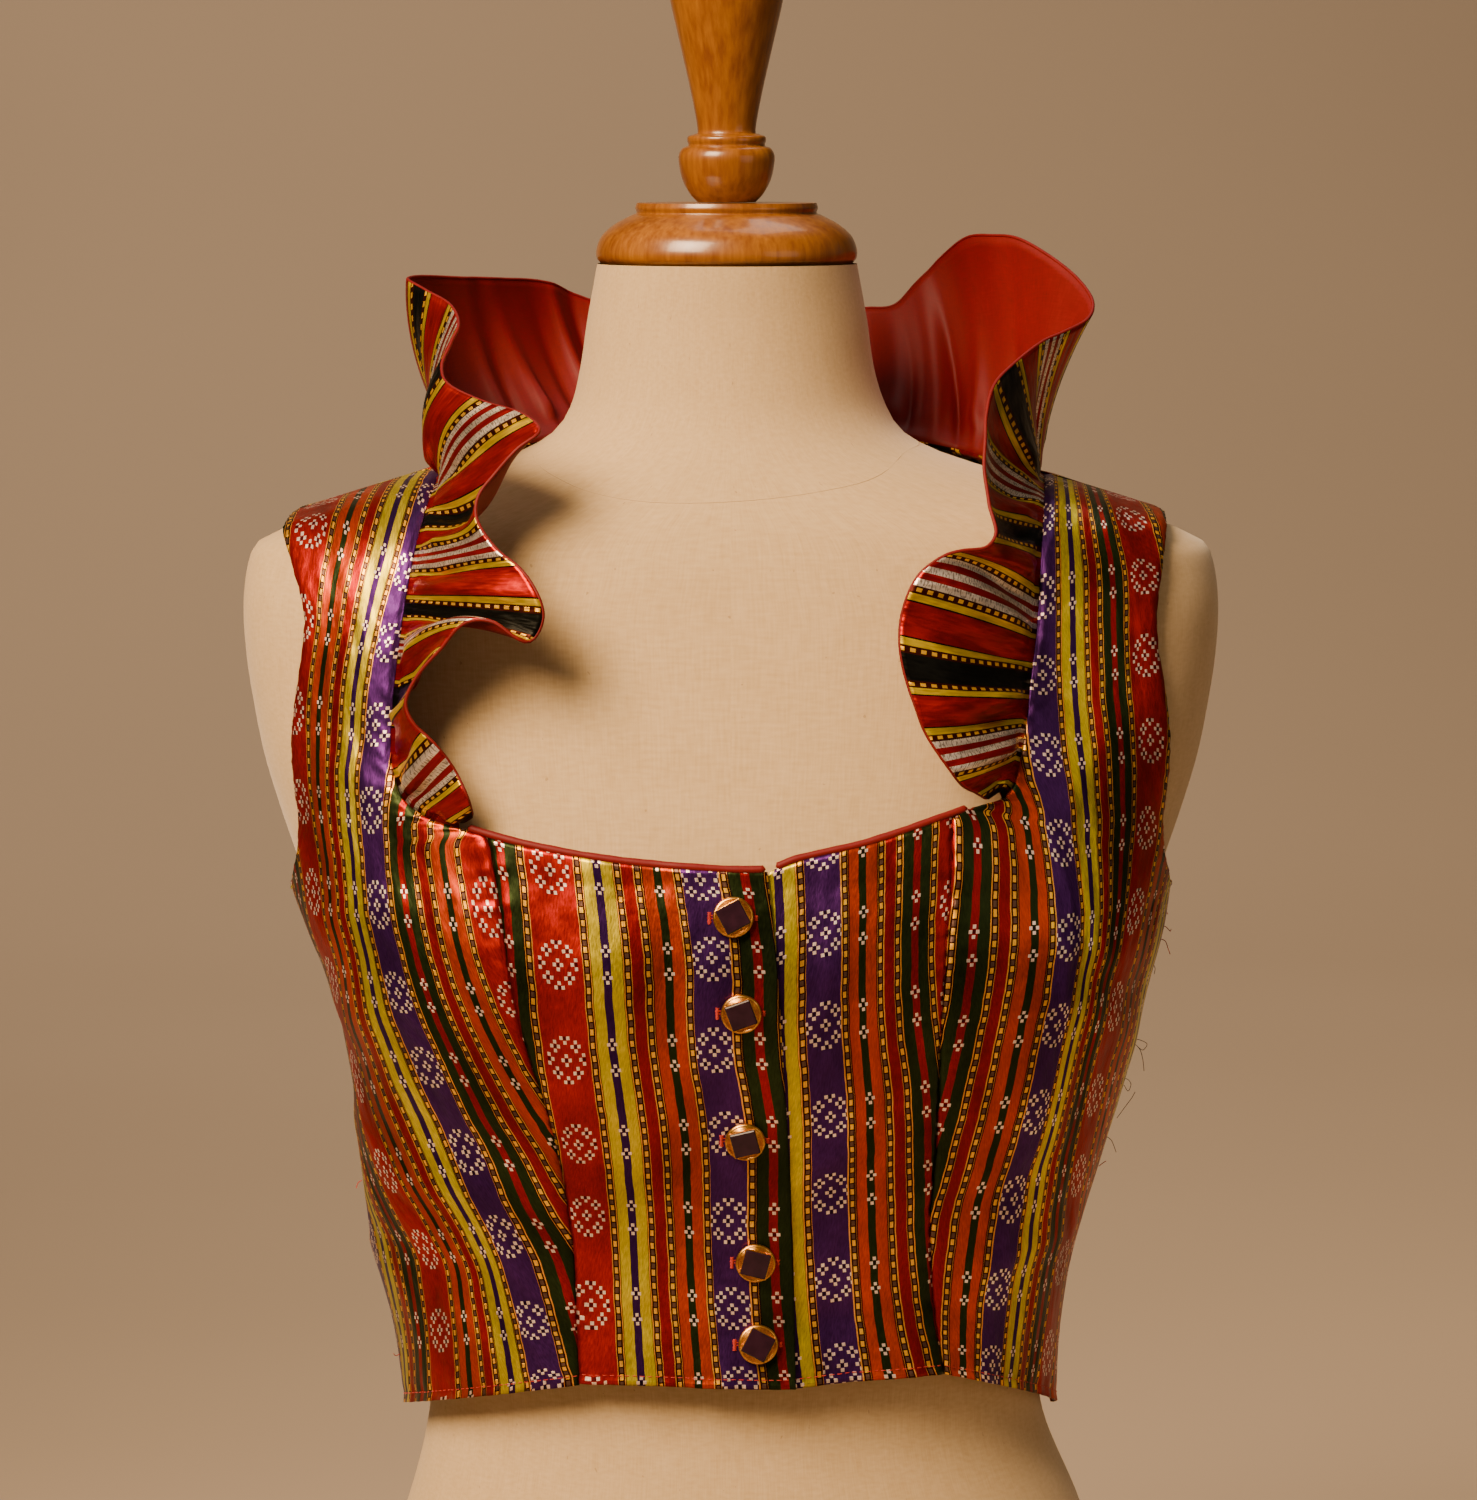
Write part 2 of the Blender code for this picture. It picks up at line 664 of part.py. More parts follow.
def place_on(path, share):
    """Point and direction at a share of a polyline's length."""
    lengths = [0.0]
    for first, second in zip(path, path[1:]):
        lengths.append(lengths[-1] + (second - first).length)
    goal = share * lengths[-1]
    for index in range(len(path) - 1):
        if goal <= lengths[index + 1] + 1e-9:
            span = lengths[index + 1] - lengths[index]
            t = (goal - lengths[index]) / max(span, 1e-9)
            return path[index].lerp(path[index + 1], t), (path[index + 1] - path[index]).normalized()
    return path[-1].copy(), (path[-1] - path[-2]).normalized()


def ruffle_grid(stretches, levels=RUFFLE_LEVELS):
    """Middle surface of the ruffle: one column of points for each station, seam to rim."""
    grid = []
    for place, rim_x, rim_y, rim_z, swell_x, swell_y, swell_z in RUFFLE_STATIONS:
        stretch = min(2, int(place))
        seam, along_seam = place_on(stretches[stretch], place - stretch)
        out = surface_normal(seam)
        into_opening = along_seam.cross(out).normalized()
        base = seam - out * (VEST_WALL / 2.0) + into_opening * RUFFLE_STAND_OFF
        rim = Vector((rim_x, rim_y, rim_z))
        control = (base + rim) / 2.0 + Vector((swell_x, swell_y, swell_z)) * 2.0
        column = []
        for level in range(levels + 1):
            t = level / levels
            column.append(base * (1 - t) ** 2 + control * (2 * t * (1 - t)) + rim * (t * t))
        grid.append(column)
    return grid


def grid_normals(grid):
    """Normals of a station grid that point away from the neck."""
    normals = []
    last_row, last_column = len(grid) - 1, len(grid[0]) - 1
    for i, column in enumerate(grid):
        line = []
        for j in range(len(column)):
            across = grid[min(i + 1, last_row)][j] - grid[max(i - 1, 0)][j]
            upward = grid[i][min(j + 1, last_column)] - grid[i][max(j - 1, 0)]
            line.append(upward.cross(across).normalized())
        normals.append(line)
    return normals


def offset_grid(grid, normals, distance):
    """Grid moved along its normals."""
    return [[p + n * distance for p, n in zip(row, line)] for row, line in zip(grid, normals)]


def build_ruffle(stretches, shell_material, lining_material):
    """Outer cloth and lining of the gathered collar ruffle."""
    middle = ruffle_grid(stretches)
    normals = grid_normals(middle)
    half_gap = LAYER_GAP / 2.0
    layers = (
        ("ruffle_shell", half_gap, half_gap + SHELL_WALL, shell_material),
        ("ruffle_lining", -half_gap, -half_gap - LINING_WALL, lining_material),
    )
    for name, near, far, material in layers:
        bm = wall_mesh(offset_grid(middle, normals, near), offset_grid(middle, normals, far))
        add_object(name, bm, material)


def build_binding(name, x_from, x_to, lift, material, steps):
    """Narrow rolled binding along the top edge of the front between two x places."""
    outer, inner = [], []
    for step in range(steps + 1):
        x = lerp(x_from, x_to, step / steps)
        height = straight(FRONT_NECK, x)
        edge = section_point(section_angle(x, height), height)
        next_height = straight(FRONT_NECK, x + 1.0)
        ahead = section_point(section_angle(x + 1.0, next_height), next_height)
        out = surface_normal(edge)
        up = out.cross(ahead - edge).normalized()
        edge = edge + out * lift(x, height)
        front = edge + out * BINDING_PROUD
        rear = edge - out * (VEST_WALL + BINDING_PROUD)
        outer.append([front + up * SEAM_GAP, front + up * (SEAM_GAP + BINDING_HEIGHT * BINDING_SHOULDER),
                      front - out * BINDING_ROUND + up * (SEAM_GAP + BINDING_HEIGHT)])
        inner.append([rear + up * SEAM_GAP, rear + up * (SEAM_GAP + BINDING_HEIGHT * BINDING_SHOULDER),
                      rear + out * BINDING_ROUND + up * (SEAM_GAP + BINDING_HEIGHT)])
    add_object(name, wall_mesh(outer, inner), material)


def place_button(bm, x, height, lift, turn):
    """Turn a flat button part, made round +Z, to face out of the vest at a place on it."""
    point = section_point(section_angle(x, height), height)
    out = surface_normal(point)
    up = Vector((0, 0, 1))
    side = up.cross(out).normalized()
    up = out.cross(side).normalized()
    turned = Matrix((side, up, out)).transposed().to_4x4()
    centre = point + out * (lap_raise(x, height) + SEAM_GAP + lift)
    bmesh.ops.transform(bm, matrix=Matrix.Translation(centre) @ turned @ Matrix.Rotation(turn, 4, "Z"),
                        verts=bm.verts)


def build_buttons(metal, stone_material):
    """Five buttons: a domed metal disc with a square stone set on its face."""
    radius = BUTTON_DIAMETER / 2.0
    profile = ((radius - 1.6, 0.0), (radius - 0.3, 0.7), (radius, 1.3), (radius - 0.4, 2.0),
               (radius - 1.2, BUTTON_THICKNESS))
    for number, (x, height, degrees) in enumerate(BUTTONS, start=1):
        disc = lathe_mesh(profile, 0.0, BUTTON_SEGMENTS)
        place_button(disc, x, height, BUTTON_STAND_OFF, 0.0)
        add_object(f"button_{number}_disc", disc, metal)
        stone = bmesh.new()
        bmesh.ops.create_cube(stone, size=1.0)
        bmesh.ops.scale(stone, vec=(STONE_SIDE, STONE_SIDE, STONE_THICKNESS), verts=stone.verts)
        place_button(stone, x, height, BUTTON_STAND_OFF + BUTTON_THICKNESS + SEAM_GAP + STONE_THICKNESS / 2.0,
                     math.radians(degrees))
        add_object(f"button_{number}_stone", stone, stone_material, smooth=False)


def build_vest(cloth, red_cloth, shell_material):
    """Cut pieces of the vest: two front panels, two side fronts, the back, the bindings and the ruffle."""
    right_side = side_panel_grid(RIGHT_SIDE_ROWS, RIGHT_SHOULDER_ROWS)
    left_side = side_panel_grid(LEFT_SIDE_ROWS, LEFT_SHOULDER_ROWS)
    back = back_grid()
    stretches = seam_path(right_side, back[-1], left_side)
    for name, grid in (("front_right_side", right_side), ("front_left_side", left_side), ("back", back)):
        add_cloth_wall(name, inset_rows(inset_columns(grid, SEAM_HALF, SEAM_HALF), SEAM_HALF), cloth)

    right_centre = centre_panel_grid(
        lambda z: straight(RIGHT_PRINCESS, z), lambda z: straight(LAP_EDGE, z), lap_raise, 0.0)
    add_cloth_wall("front_right_centre", inset_columns(right_centre, SEAM_HALF, 0.0), cloth)
    left_centre = centre_panel_grid(
        lambda z: straight(LAP_EDGE, z) - UNDERLAP, lambda z: straight(LEFT_PRINCESS, z),
        flat, LAP_DROP)
    add_cloth_wall("front_left_centre", inset_columns(left_centre, 0.0, SEAM_HALF), cloth)

    lap_x = straight(LAP_EDGE, LAP_TOP)
    build_binding("binding_right", BINDING_START, lap_x - BINDING_LAP_MARGINS[0], lap_raise, red_cloth, 10)
    build_binding("binding_left", lap_x + BINDING_LAP_MARGINS[1], BINDING_FINISH, flat, red_cloth, 8)
    build_ruffle(stretches, shell_material, red_cloth)


def main():
    """Build the whole piece."""
    for existing in list(bpy.data.objects):
        bpy.data.objects.remove(existing, do_unlink=True)
    jersey = new_material("cream_jersey", (0.61, 0.50, 0.38), 0.9)
    wood = new_material("varnished_wood", (0.52, 0.24, 0.06), 0.35)
    cloth = new_material("striped_satin", (0.50, 0.05, 0.02), 0.45)
    shell_cloth = new_material("striped_ribbon_satin", (0.30, 0.05, 0.02), 0.45)
    red_cloth = new_material("red_satin", (0.45, 0.01, 0.01), 0.4)
    metal = new_material("gilt_metal", (0.80, 0.50, 0.20), 0.3, 1.0)
    stone = new_material("dark_glass", (0.05, 0.02, 0.06), 0.15)

    build_form(jersey)
    add_object("stand_base", lathe_mesh(BASE_PROFILE, 0.0, BASE_SEGMENTS), wood)
    add_object("neck_cap", lathe_mesh(CAP_PROFILE, WOOD_AXIS_X, WOOD_SEGMENTS), wood)
    add_object("finial", lathe_mesh(FINIAL_PROFILE, WOOD_AXIS_X, WOOD_SEGMENTS), wood)
    build_vest(cloth, red_cloth, shell_cloth)
    build_buttons(metal, stone)


main()
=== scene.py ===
"""Looks of a folk-dress vest with a gathered collar ruffle, buttoned on a limbless table-top dress form.

Frame: metres, +Z up, the front of the vest faces -Y, the wearer's left is at +X.
Lengths in the tables are millimetres. Cloth coordinates (UV maps) are metres on the cut cloth.
"""

import logging
import math
from dataclasses import dataclass, field
from enum import Enum
from typing import Callable, Iterable, Sequence

import bpy
import numpy as np
from mathutils import Matrix, Vector


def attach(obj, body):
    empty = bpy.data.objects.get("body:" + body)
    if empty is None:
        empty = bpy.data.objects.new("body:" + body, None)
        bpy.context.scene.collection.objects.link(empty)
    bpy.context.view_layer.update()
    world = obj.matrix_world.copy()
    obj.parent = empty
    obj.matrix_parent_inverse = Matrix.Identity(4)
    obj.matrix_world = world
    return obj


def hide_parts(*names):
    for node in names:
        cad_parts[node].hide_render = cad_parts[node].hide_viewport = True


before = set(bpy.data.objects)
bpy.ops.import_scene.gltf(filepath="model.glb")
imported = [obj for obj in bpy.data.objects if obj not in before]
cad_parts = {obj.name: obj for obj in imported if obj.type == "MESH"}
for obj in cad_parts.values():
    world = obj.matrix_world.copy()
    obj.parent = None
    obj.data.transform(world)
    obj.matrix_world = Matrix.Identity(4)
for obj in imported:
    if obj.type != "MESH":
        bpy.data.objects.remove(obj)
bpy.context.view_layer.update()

LOG = logging.getLogger("vest")

MM = 0.001
ORIGIN_SHIFT_Y = 4.9
ANGLE_TOP = 500.0
STRAIGHT_FROM = 560.0
UNDERARM = 449.0
NECK_TOP = 697.0
FORM_BOTTOM = 45.3
STRAP_EASE = 4.6
STRAP_LIFT = 4.0
EASE_FULL = 520.0
VEST_WALL = 1.6
CLOTH = 1.0
SEAM_GAP = 0.3
UNDERLAP = 20.0
LAP_MARGIN = 11.0
LAP_RUN = 14.0
LAP_DROP = 3.0
RUFFLE_STAND_OFF = 2.6
HEM_LEVEL = 266.0
NECK_LEVEL = 478.0
LAP_TOP = 470.0
PROFILE_STEPS = 64

# Dress form sections: height, half width at -X, half width at +X, front, back, roundness
FORM_SECTIONS = (
    (45, 156, 158, 102, 106, 2.1),
    (52, 161, 163, 107, 111, 2.1),
    (75, 165, 168, 110, 115, 2.1),
    (115, 160, 165, 107, 113, 2.1),
    (160, 146, 153, 100, 107, 2.1),
    (198, 131, 141, 94, 96, 2.1),
    (235, 122, 126, 89, 82, 2.1),
    (262, 122, 124, 89, 79, 2.2),
    (295, 128, 127, 91, 79, 2.3),
    (332, 138, 137, 98, 84, 2.4),
    (370, 145, 149, 111, 92, 2.6),
    (410, 154, 160, 122, 99, 2.7),
    (447, 168, 168, 125, 104, 2.6),
    (463, 173, 173, 123, 105, 2.5),
    (483, 180, 180, 118, 106, 2.4),
    (503, 186, 186, 112, 107, 2.4),
    (523, 190, 190, 106, 107, 2.4),
    (543, 193, 193, 100, 106, 2.4),
    (563, 194, 194, 94, 104, 2.4),
    (579, 192, 192, 89, 100, 2.3),
    (587, 188, 188, 86, 97, 2.3),
    (592, 178, 178, 84, 95, 2.3),
    (598, 160, 160, 81, 92, 2.3),
    (605, 138, 138, 77, 88, 2.2),
    (613, 112, 112, 71, 82, 2.2),
    (622, 85, 84, 65, 75, 2.1),
    (630, 71, 69, 60, 69, 2.1),
    (640, 64, 62, 56, 64, 2.0),
    (655, 60, 57, 53, 59, 2.0),
    (675, 57, 54, 51, 54, 2.0),
    (697, 53, 50, 51, 52, 2.0),
)

# Outer face of the vest below the armholes, in the same columns
VEST_SECTIONS = (
    (230, 131, 131, 102, 90, 2.1),
    (262, 134, 132, 103, 89, 2.2),
    (295, 142, 136, 102, 88, 2.3),
    (332, 149, 146, 107, 91, 2.4),
    (370, 151, 157, 118, 98, 2.6),
    (410, 160, 166, 129, 105, 2.8),
    (432, 168, 172, 132, 108, 2.7),
    (449, 174.5, 175, 131, 110, 2.6),
    (465, 178, 178, 129, 111, 2.5),
)

# Rows of the side fronts: inner edge x and height, height at the side seam or armhole.
RIGHT_SIDE_ROWS = (
    (-59, 265, 238),
    (-60, 290, 271),
    (-61, 319, 305),
    (-66, 354, 348),
    (-72, 380, 378),
    (-81, 410, 410),
    (-85, 432, 434),
    (-87, 449, 449),
    (-88.5, 458, 451),
    (-90, 467, 455),
    (-93, 481, 462),
    (-104, 485, 468),
    (-116, 488, 474),
    (-126, 495, 483),
    (-130.5, 507, 497),
    (-131, 520, 513),
    (-130, 535, 530),
    (-127, 560, 560),
)
LEFT_SIDE_ROWS = (
    (84, 267, 238),
    (80, 290, 271),
    (78, 319, 305),
    (79, 354, 348),
    (80, 380, 378),
    (80.5, 408, 410),
    (82, 430, 434),
    (83, 448, 449),
    (84, 460, 451),
    (84.5, 472, 455),
    (85, 490, 462),
    (95, 493.5, 468),
    (104, 496, 474),
    (109, 502, 483),
    (112, 514, 497),
    (114, 526, 513),
    (115.5, 540, 530),
    (118, 560, 560),
)
# Rows between the straight rows and the shoulder line: x at the neck and at the armhole
RIGHT_SHOULDER_ROWS = ((-118, -176.0), (-112, -175.0))
LEFT_SHOULDER_ROWS = ((122, 171.0), (125, 173.0))

# Armhole edge: height against distance in front of or behind the side
ARMHOLE_FRONT = ((449, 0), (450.5, 16), (454, 31), (460, 43), (468, 51), (482, 57), (508, 62), (535, 65),
                 (560, 65))
ARMHOLE_BACK = ((449, 0), (450.5, 15), (454, 28), (460, 38), (468, 45), (482, 51), (508, 57), (535, 60),
                (560, 61))

# Rows where the ruffle starts on either side front
RIGHT_RUFFLE_ROW = 11
LEFT_RUFFLE_ROW = 12

# Shares of the way from the straight rows up to the shoulder line, for the shoulder rows
SHOULDER_SHARES = (0.5, 1.0)

# Overlap edge as height and x, then the front hem and the front neckline as x and height
LAP_EDGE = ((265, 25), (319, 24), (356, 22.5), (397, 20), (436, 17.5), (470, 14))
FRONT_HEM = ((-132, 238), (-99, 254), (-78, 263), (-59, 265.5), (-35, 266), (25, 265), (46, 267), (84, 267),
             (97, 264), (118, 254), (131, 238))
FRONT_NECK = ((-104, 485), (-93, 482), (-80, 479), (-50, 474), (-19, 471), (14, 470), (26, 474), (53, 480),
              (85, 490), (104, 496))
BACK_HEM_SIDE = 238.0
BACK_HEM_CENTRE = 244.0

# Back panel columns: x at the shoulders, share of the way round at the waist, height of the top edge
BACK_COLUMNS = (
    (-175, 0.00, None),
    (-160, 0.06, None),
    (-143, 0.12, None),
    (-127, 0.17, None),
    (-112, 0.22, None),
    (-98, 0.27, 620.5),
    (-80, 0.32, 623.5),
    (-56, 0.38, 624),
    (-28, 0.44, 622),
    (0, 0.50, 620.5),
    (30, 0.56, 622.5),
    (56, 0.62, 625.5),
    (80, 0.68, 623.5),
    (100, 0.73, 619.5),
    (125, 0.78, None),
    (140, 0.83, None),
    (157, 0.89, None),
    (173, 1.00, None),
)
# Rows of the upper back: height at the armholes, height at the centre
BACK_ROWS = ((449, 449), (451, 461), (455, 472), (462, 483), (474, 495), (490, 507), (512, 522), (536, 538),
             (560, 554))
BACK_SHOULDER_SHARES = (0.2, 0.4, 0.6, 0.8, 1.0)
# Rows of the back between the hem and the underarm
BACK_LOWER_ROWS = 8

# Ruffle stations: place on the seam (0-1 right front, 1-2 back, 2-3 left front),
# rim x, y, height, and how far the cloth between seam and rim swells in x, y and height
RUFFLE_STATIONS = (
    (0.000, -98, -116, 490, 0, 0, 0),
    (0.050, -100, -123, 498, 0, -2, 0),
    (0.100, -105, -121, 508, 0, -3, 0),
    (0.150, -112, -123, 518, -1, -3, 0),
    (0.210, -120, -122, 525, -1, -2, 0),
    (0.270, -123, -121, 534, 0, -1, 0),
    (0.310, -119, -122, 544, 0, -1, 0),
    (0.350, -110, -125, 555, 0, -2, 2),
    (0.390, -101, -128, 564, -1, -3, 3),
    (0.420, -90, -131, 565, -1, -5, 5),
    (0.447, -81, -132, 560, -1, -6, 5),
    (0.470, -75, -132, 559, -1, -6, 4),
    (0.492, -71, -131, 567, -1, -6, 1),
    (0.515, -73, -129, 576, -1, -5, 1),
    (0.540, -80, -124, 585, -1, -4, 1),
    (0.570, -89, -117, 592, 0, -3, 0),
    (0.600, -95, -112, 601, 3, -3, -2),
    (0.630, -96, -109, 611, 5, -4, -4),
    (0.660, -90, -107, 620, 6, -4, -5),
    (0.690, -82, -107, 629, 4, -4, -4),
    (0.725, -73, -104, 636, -1, -4, 0),
    (0.765, -80, -92, 642, -3, -4, 3),
    (0.810, -96, -74, 646, -5, -3, 3),
    (0.850, -110, -57, 652, -7, -3, 0),
    (0.880, -113, -44, 659, -8, -3, 0),
    (0.910, -110, -34, 667, -7, -3, 0),
    (0.940, -107, -26, 674, -7, -2, 0),
    (0.970, -111, -9, 681, -7, 0, 0),
    (1.000, -121, 5, 686, -7, 2, 0),
    (1.045, -129, 19, 690, -7, 4, 0),
    (1.095, -126, 36, 691, -7, 7, 0),
    (1.160, -112, 56, 690, -5, 10, -2),
    (1.240, -94, 75, 689, -3, 11, -3),
    (1.320, -76, 92, 687, -3, 9, -4),
    (1.390, -58, 104, 679, -3, 4, -4),
    (1.450, -38, 107, 671, 0, 2, -3),
    (1.510, -14, 104, 668, 0, 4, -2),
    (1.570, 10, 108, 668, 0, 8, -2),
    (1.630, 34, 112, 671, 1, 8, -2),
    (1.690, 54, 106, 676, 3, 3, -2),
    (1.735, 67, 96, 677, 4, -2, -2),
    (1.775, 76, 92, 686, 4, 2, -4),
    (1.820, 87, 85, 698, 4, 7, -5),
    (1.860, 97, 73, 706, 5, 7, -6),
    (1.890, 106, 58, 707, 6, 5, -6),
    (1.920, 116, 43, 706, 5, 5, -5),
    (1.945, 127, 27, 700, 2, 5, -4),
    (1.965, 137, 11, 692, -2, 4, -3),
    (1.985, 143, -6, 683, -4, 0, -2),
    (2.010, 141, -18, 676, -4, -2, 0),
    (2.040, 131, -31, 671, -2, -3, 2),
    (2.075, 121, -43, 667, -1, -3, 3),
    (2.115, 110, -60, 660, 0, -4, 3),
    (2.160, 101, -77, 652, -3, -6, 0),
    (2.220, 98, -90, 638, -5, -5, 0),
    (2.295, 97, -100, 623, -6, -3, 0),
    (2.370, 98, -109, 609, -4, -2, 0),
    (2.440, 101, -116, 599, -2, -1, 0),
    (2.490, 97, -120, 593, 0, -1, 1),
    (2.530, 88, -123, 592, 0, -3, 2),
    (2.570, 79, -126, 589, 0, -5, 3),
    (2.610, 71, -128, 583, 1, -6, 2),
    (2.655, 66, -130, 572, 1, -7, 1),
    (2.710, 64, -131, 557, 1, -7, 0),
    (2.765, 67, -132, 541, 1, -6, 0),
    (2.820, 73, -133, 525, 1, -5, 0),
    (2.870, 81, -133, 512, 1, -4, 0),
    (2.920, 88, -128, 503, 0, -2, 0),
    (2.960, 94, -120, 499, 0, -1, 0),
    (3.000, 98, -114, 496, 0, 0, 0),
)

# Buttons: x, height, turn of the square stone in degrees
BUTTONS = (
    (1, 453, 28),
    (4, 417, 20),
    (5.5, 366, 14),
    (9.5, 316, -14),
    (10.5, 283, -28),
)

# Turned wood: radius and height from the bottom up
CAP_PROFILE = ((50.0, 697.3), (51.6, 699.5), (51.6, 703.0), (49.5, 708.0), (44.5, 712.5), (38.0, 716.0),
               (35.8, 717.0), (36.2, 719.0), (35.6, 721.0))
FINIAL_PROFILE = ((11.5, 721.3), (14.5, 724.5), (17.5, 730.0), (18.9, 736.5), (18.9, 740.0), (17.5, 742.5),
                  (15.2, 743.6), (15.6, 745.5), (15.2, 747.2), (12.6, 748.2), (11.5, 750.0), (14.0, 764.0),
                  (18.3, 783.0), (22.4, 801.0), (24.5, 814.0), (24.0, 826.0), (20.5, 837.0), (13.5, 845.0),
                  (5.0, 849.0))
BASE_PROFILE = ((124.0, 0.0), (128.0, 3.5), (128.0, 12.0), (124.0, 18.0), (112.0, 21.5), (60.0, 23.5),
                (44.0, 26.0), (38.0, 31.0), (38.0, 38.0), (44.0, 43.0), (46.0, 45.0))



def lerp(a: float, b: float, share: float) -> float:
    """Value a share of the way from a to b."""
    return a + (b - a) * share


def smoothstep(low: float, high: float, value: float) -> float:
    """Soft step from 0 at low to 1 at high."""
    share = min(1.0, max(0.0, (value - low) / (high - low)))
    return share * share * (3.0 - 2.0 * share)


def along(table: Sequence[Sequence[float]], key: float, column: int) -> float:
    """Smooth value of a column at a key in the table's first column.

    Args:
        table: Rows in rising order of their first value.
        key: Where to read.
        column: Which column to read.

    Returns:
        The value on a smooth curve through the rows, kept between the table's ends.
    """
    if key <= table[0][0]:
        return table[0][column]
    if key >= table[-1][0]:
        return table[-1][column]
    index = next(i for i in range(len(table) - 1) if key <= table[i + 1][0])
    left, right = table[index], table[index + 1]
    span = right[0] - left[0]
    before = table[max(0, index - 1)]
    after = table[min(len(table) - 1, index + 2)]
    slope_in = (right[column] - before[column]) / (right[0] - before[0])
    slope_out = (after[column] - left[column]) / (after[0] - left[0])
    t = (key - left[0]) / span
    t2, t3 = t * t, t * t * t
    return (
        (2 * t3 - 3 * t2 + 1) * left[column] + (t3 - 2 * t2 + t) * span * slope_in
        + (-2 * t3 + 3 * t2) * right[column] + (t3 - t2) * span * slope_out
    )


def straight(table: Sequence[Sequence[float]], key: float) -> float:
    """Value between the two nearest rows of a two-column table."""
    for (k0, v0), (k1, v1) in zip(table, table[1:]):
        if key <= k1:
            return lerp(v0, v1, max(0.0, (key - k0) / (k1 - k0)))
    return table[-1][1]


Section = Callable[[float], Sequence[float]]


def form_section(height: float) -> list[float]:
    """Half widths, depths and roundness of the dress form at a height."""
    return [along(FORM_SECTIONS, height, column) for column in range(1, 6)]


def vest_section(height: float) -> list[float]:
    """Half widths, depths and roundness of the outer face of the vest at a height."""
    share = smoothstep(UNDERARM, EASE_FULL, height)
    lift = STRAP_LIFT * smoothstep(ANGLE_TOP, STRAIGHT_FROM, height)
    above = form_section(height - lift)
    above = [value + STRAP_EASE for value in above[:4]] + above[4:]
    if share >= 1.0:
        return above
    below = [along(VEST_SECTIONS, height, column) for column in range(1, 6)]
    return [lerp(low, high, share) for low, high in zip(below, above)]


def section_angle(x: float, height: float) -> float:
    """Angle round the vest's section, 0 at the centre and 90 degrees at the side, where x lies."""
    left, right, _, _, power = vest_section(height)
    ratio = min(1.0, abs(x) / (left if x < 0 else right))
    return math.copysign(math.asin(ratio ** (power / 2.0)), x)


def section_point(angle: float, height: float, back: bool = False, section: Section = vest_section) -> Vector:
    """Point of a section at an angle from its centre, in front or behind."""
    left, right, front, rear, power = section(height)
    sine, cosine = math.sin(angle), max(0.0, math.cos(angle))
    width = left if sine < 0 else right
    x = math.copysign(width * abs(sine) ** (2.0 / power), sine)
    y = cosine ** (2.0 / power)
    return Vector((x, rear * y if back else -front * y, height))


def vest_point(x: float, height: float, back: bool = False) -> Vector:
    """Point of the vest's outer face at x and a height, in front or behind."""
    return section_point(section_angle(x, height), height, back)


def surface_field(point: Vector) -> float:
    """Signed value that is 0 on the vest's outer face, less inside and more outside."""
    left, right, front, rear, power = vest_section(point.z)
    width = left if point.x < 0 else right
    depth = front if point.y < 0 else rear
    return (abs(point.x) / width) ** power + (abs(point.y) / depth) ** power - 1.0


def surface_normal(point: Vector) -> Vector:
    """Outward normal of the vest's outer face."""
    step = 0.5
    steps = (Vector((step, 0, 0)), Vector((0, step, 0)), Vector((0, 0, step)))
    return Vector([surface_field(point + s) - surface_field(point - s) for s in steps]).normalized()


def crest_height(x: float) -> float:
    """Height at which the shoulder ends above a given x."""
    low, high = STRAIGHT_FROM, NECK_TOP
    for _ in range(30):
        middle = (low + high) / 2.0
        left, right = vest_section(middle)[:2]
        if abs(x) < (left if x < 0 else right):
            low = middle
        else:
            high = middle
    return low


def profile_point(x: float, share: float, start: float, back: bool = False,
                  top: float | None = None) -> Vector:
    """Point at a share of the arc from the start height up to the shoulder line, or to a lower top."""
    finish = crest_height(x) if top is None else top
    points = []
    for step in range(PROFILE_STEPS + 1):
        rise = 1.0 - (1.0 - step / PROFILE_STEPS) ** 2
        height = lerp(start, finish, rise)
        points.append(vest_point(x, height, back))
    if top is None:
        points[-1].y = 0.0
    lengths = [0.0]
    for first, second in zip(points, points[1:]):
        lengths.append(lengths[-1] + (second - first).length)
    goal = share * lengths[-1]
    for index in range(PROFILE_STEPS):
        if goal <= lengths[index + 1]:
            span = max(1e-9, lengths[index + 1] - lengths[index])
            return points[index].lerp(points[index + 1], (goal - lengths[index]) / span)
    return points[-1]


def edge_angle(side: float, height: float, armhole: Sequence[Sequence[float]], back: bool = False) -> float:
    """Angle of the side seam, or above the underarm of the armhole edge, on one side of the vest."""
    _, _, front, rear, power = vest_section(height)
    reach = straight(armhole, height) if height > UNDERARM else 0.0
    ratio = min(1.0, reach / (rear if back else front))
    return math.copysign(math.acos(ratio ** (power / 2.0)), side)


def level_point(angle: float, level_x: float, height: float, back: bool = False) -> Vector:
    """Point at an angle, which gives way higher up to a straight column at a fixed x."""
    turned = section_point(angle, height, back)
    if height <= ANGLE_TOP:
        return turned
    x = lerp(turned.x, level_x, smoothstep(ANGLE_TOP, STRAIGHT_FROM, height))
    return vest_point(x, height, back)


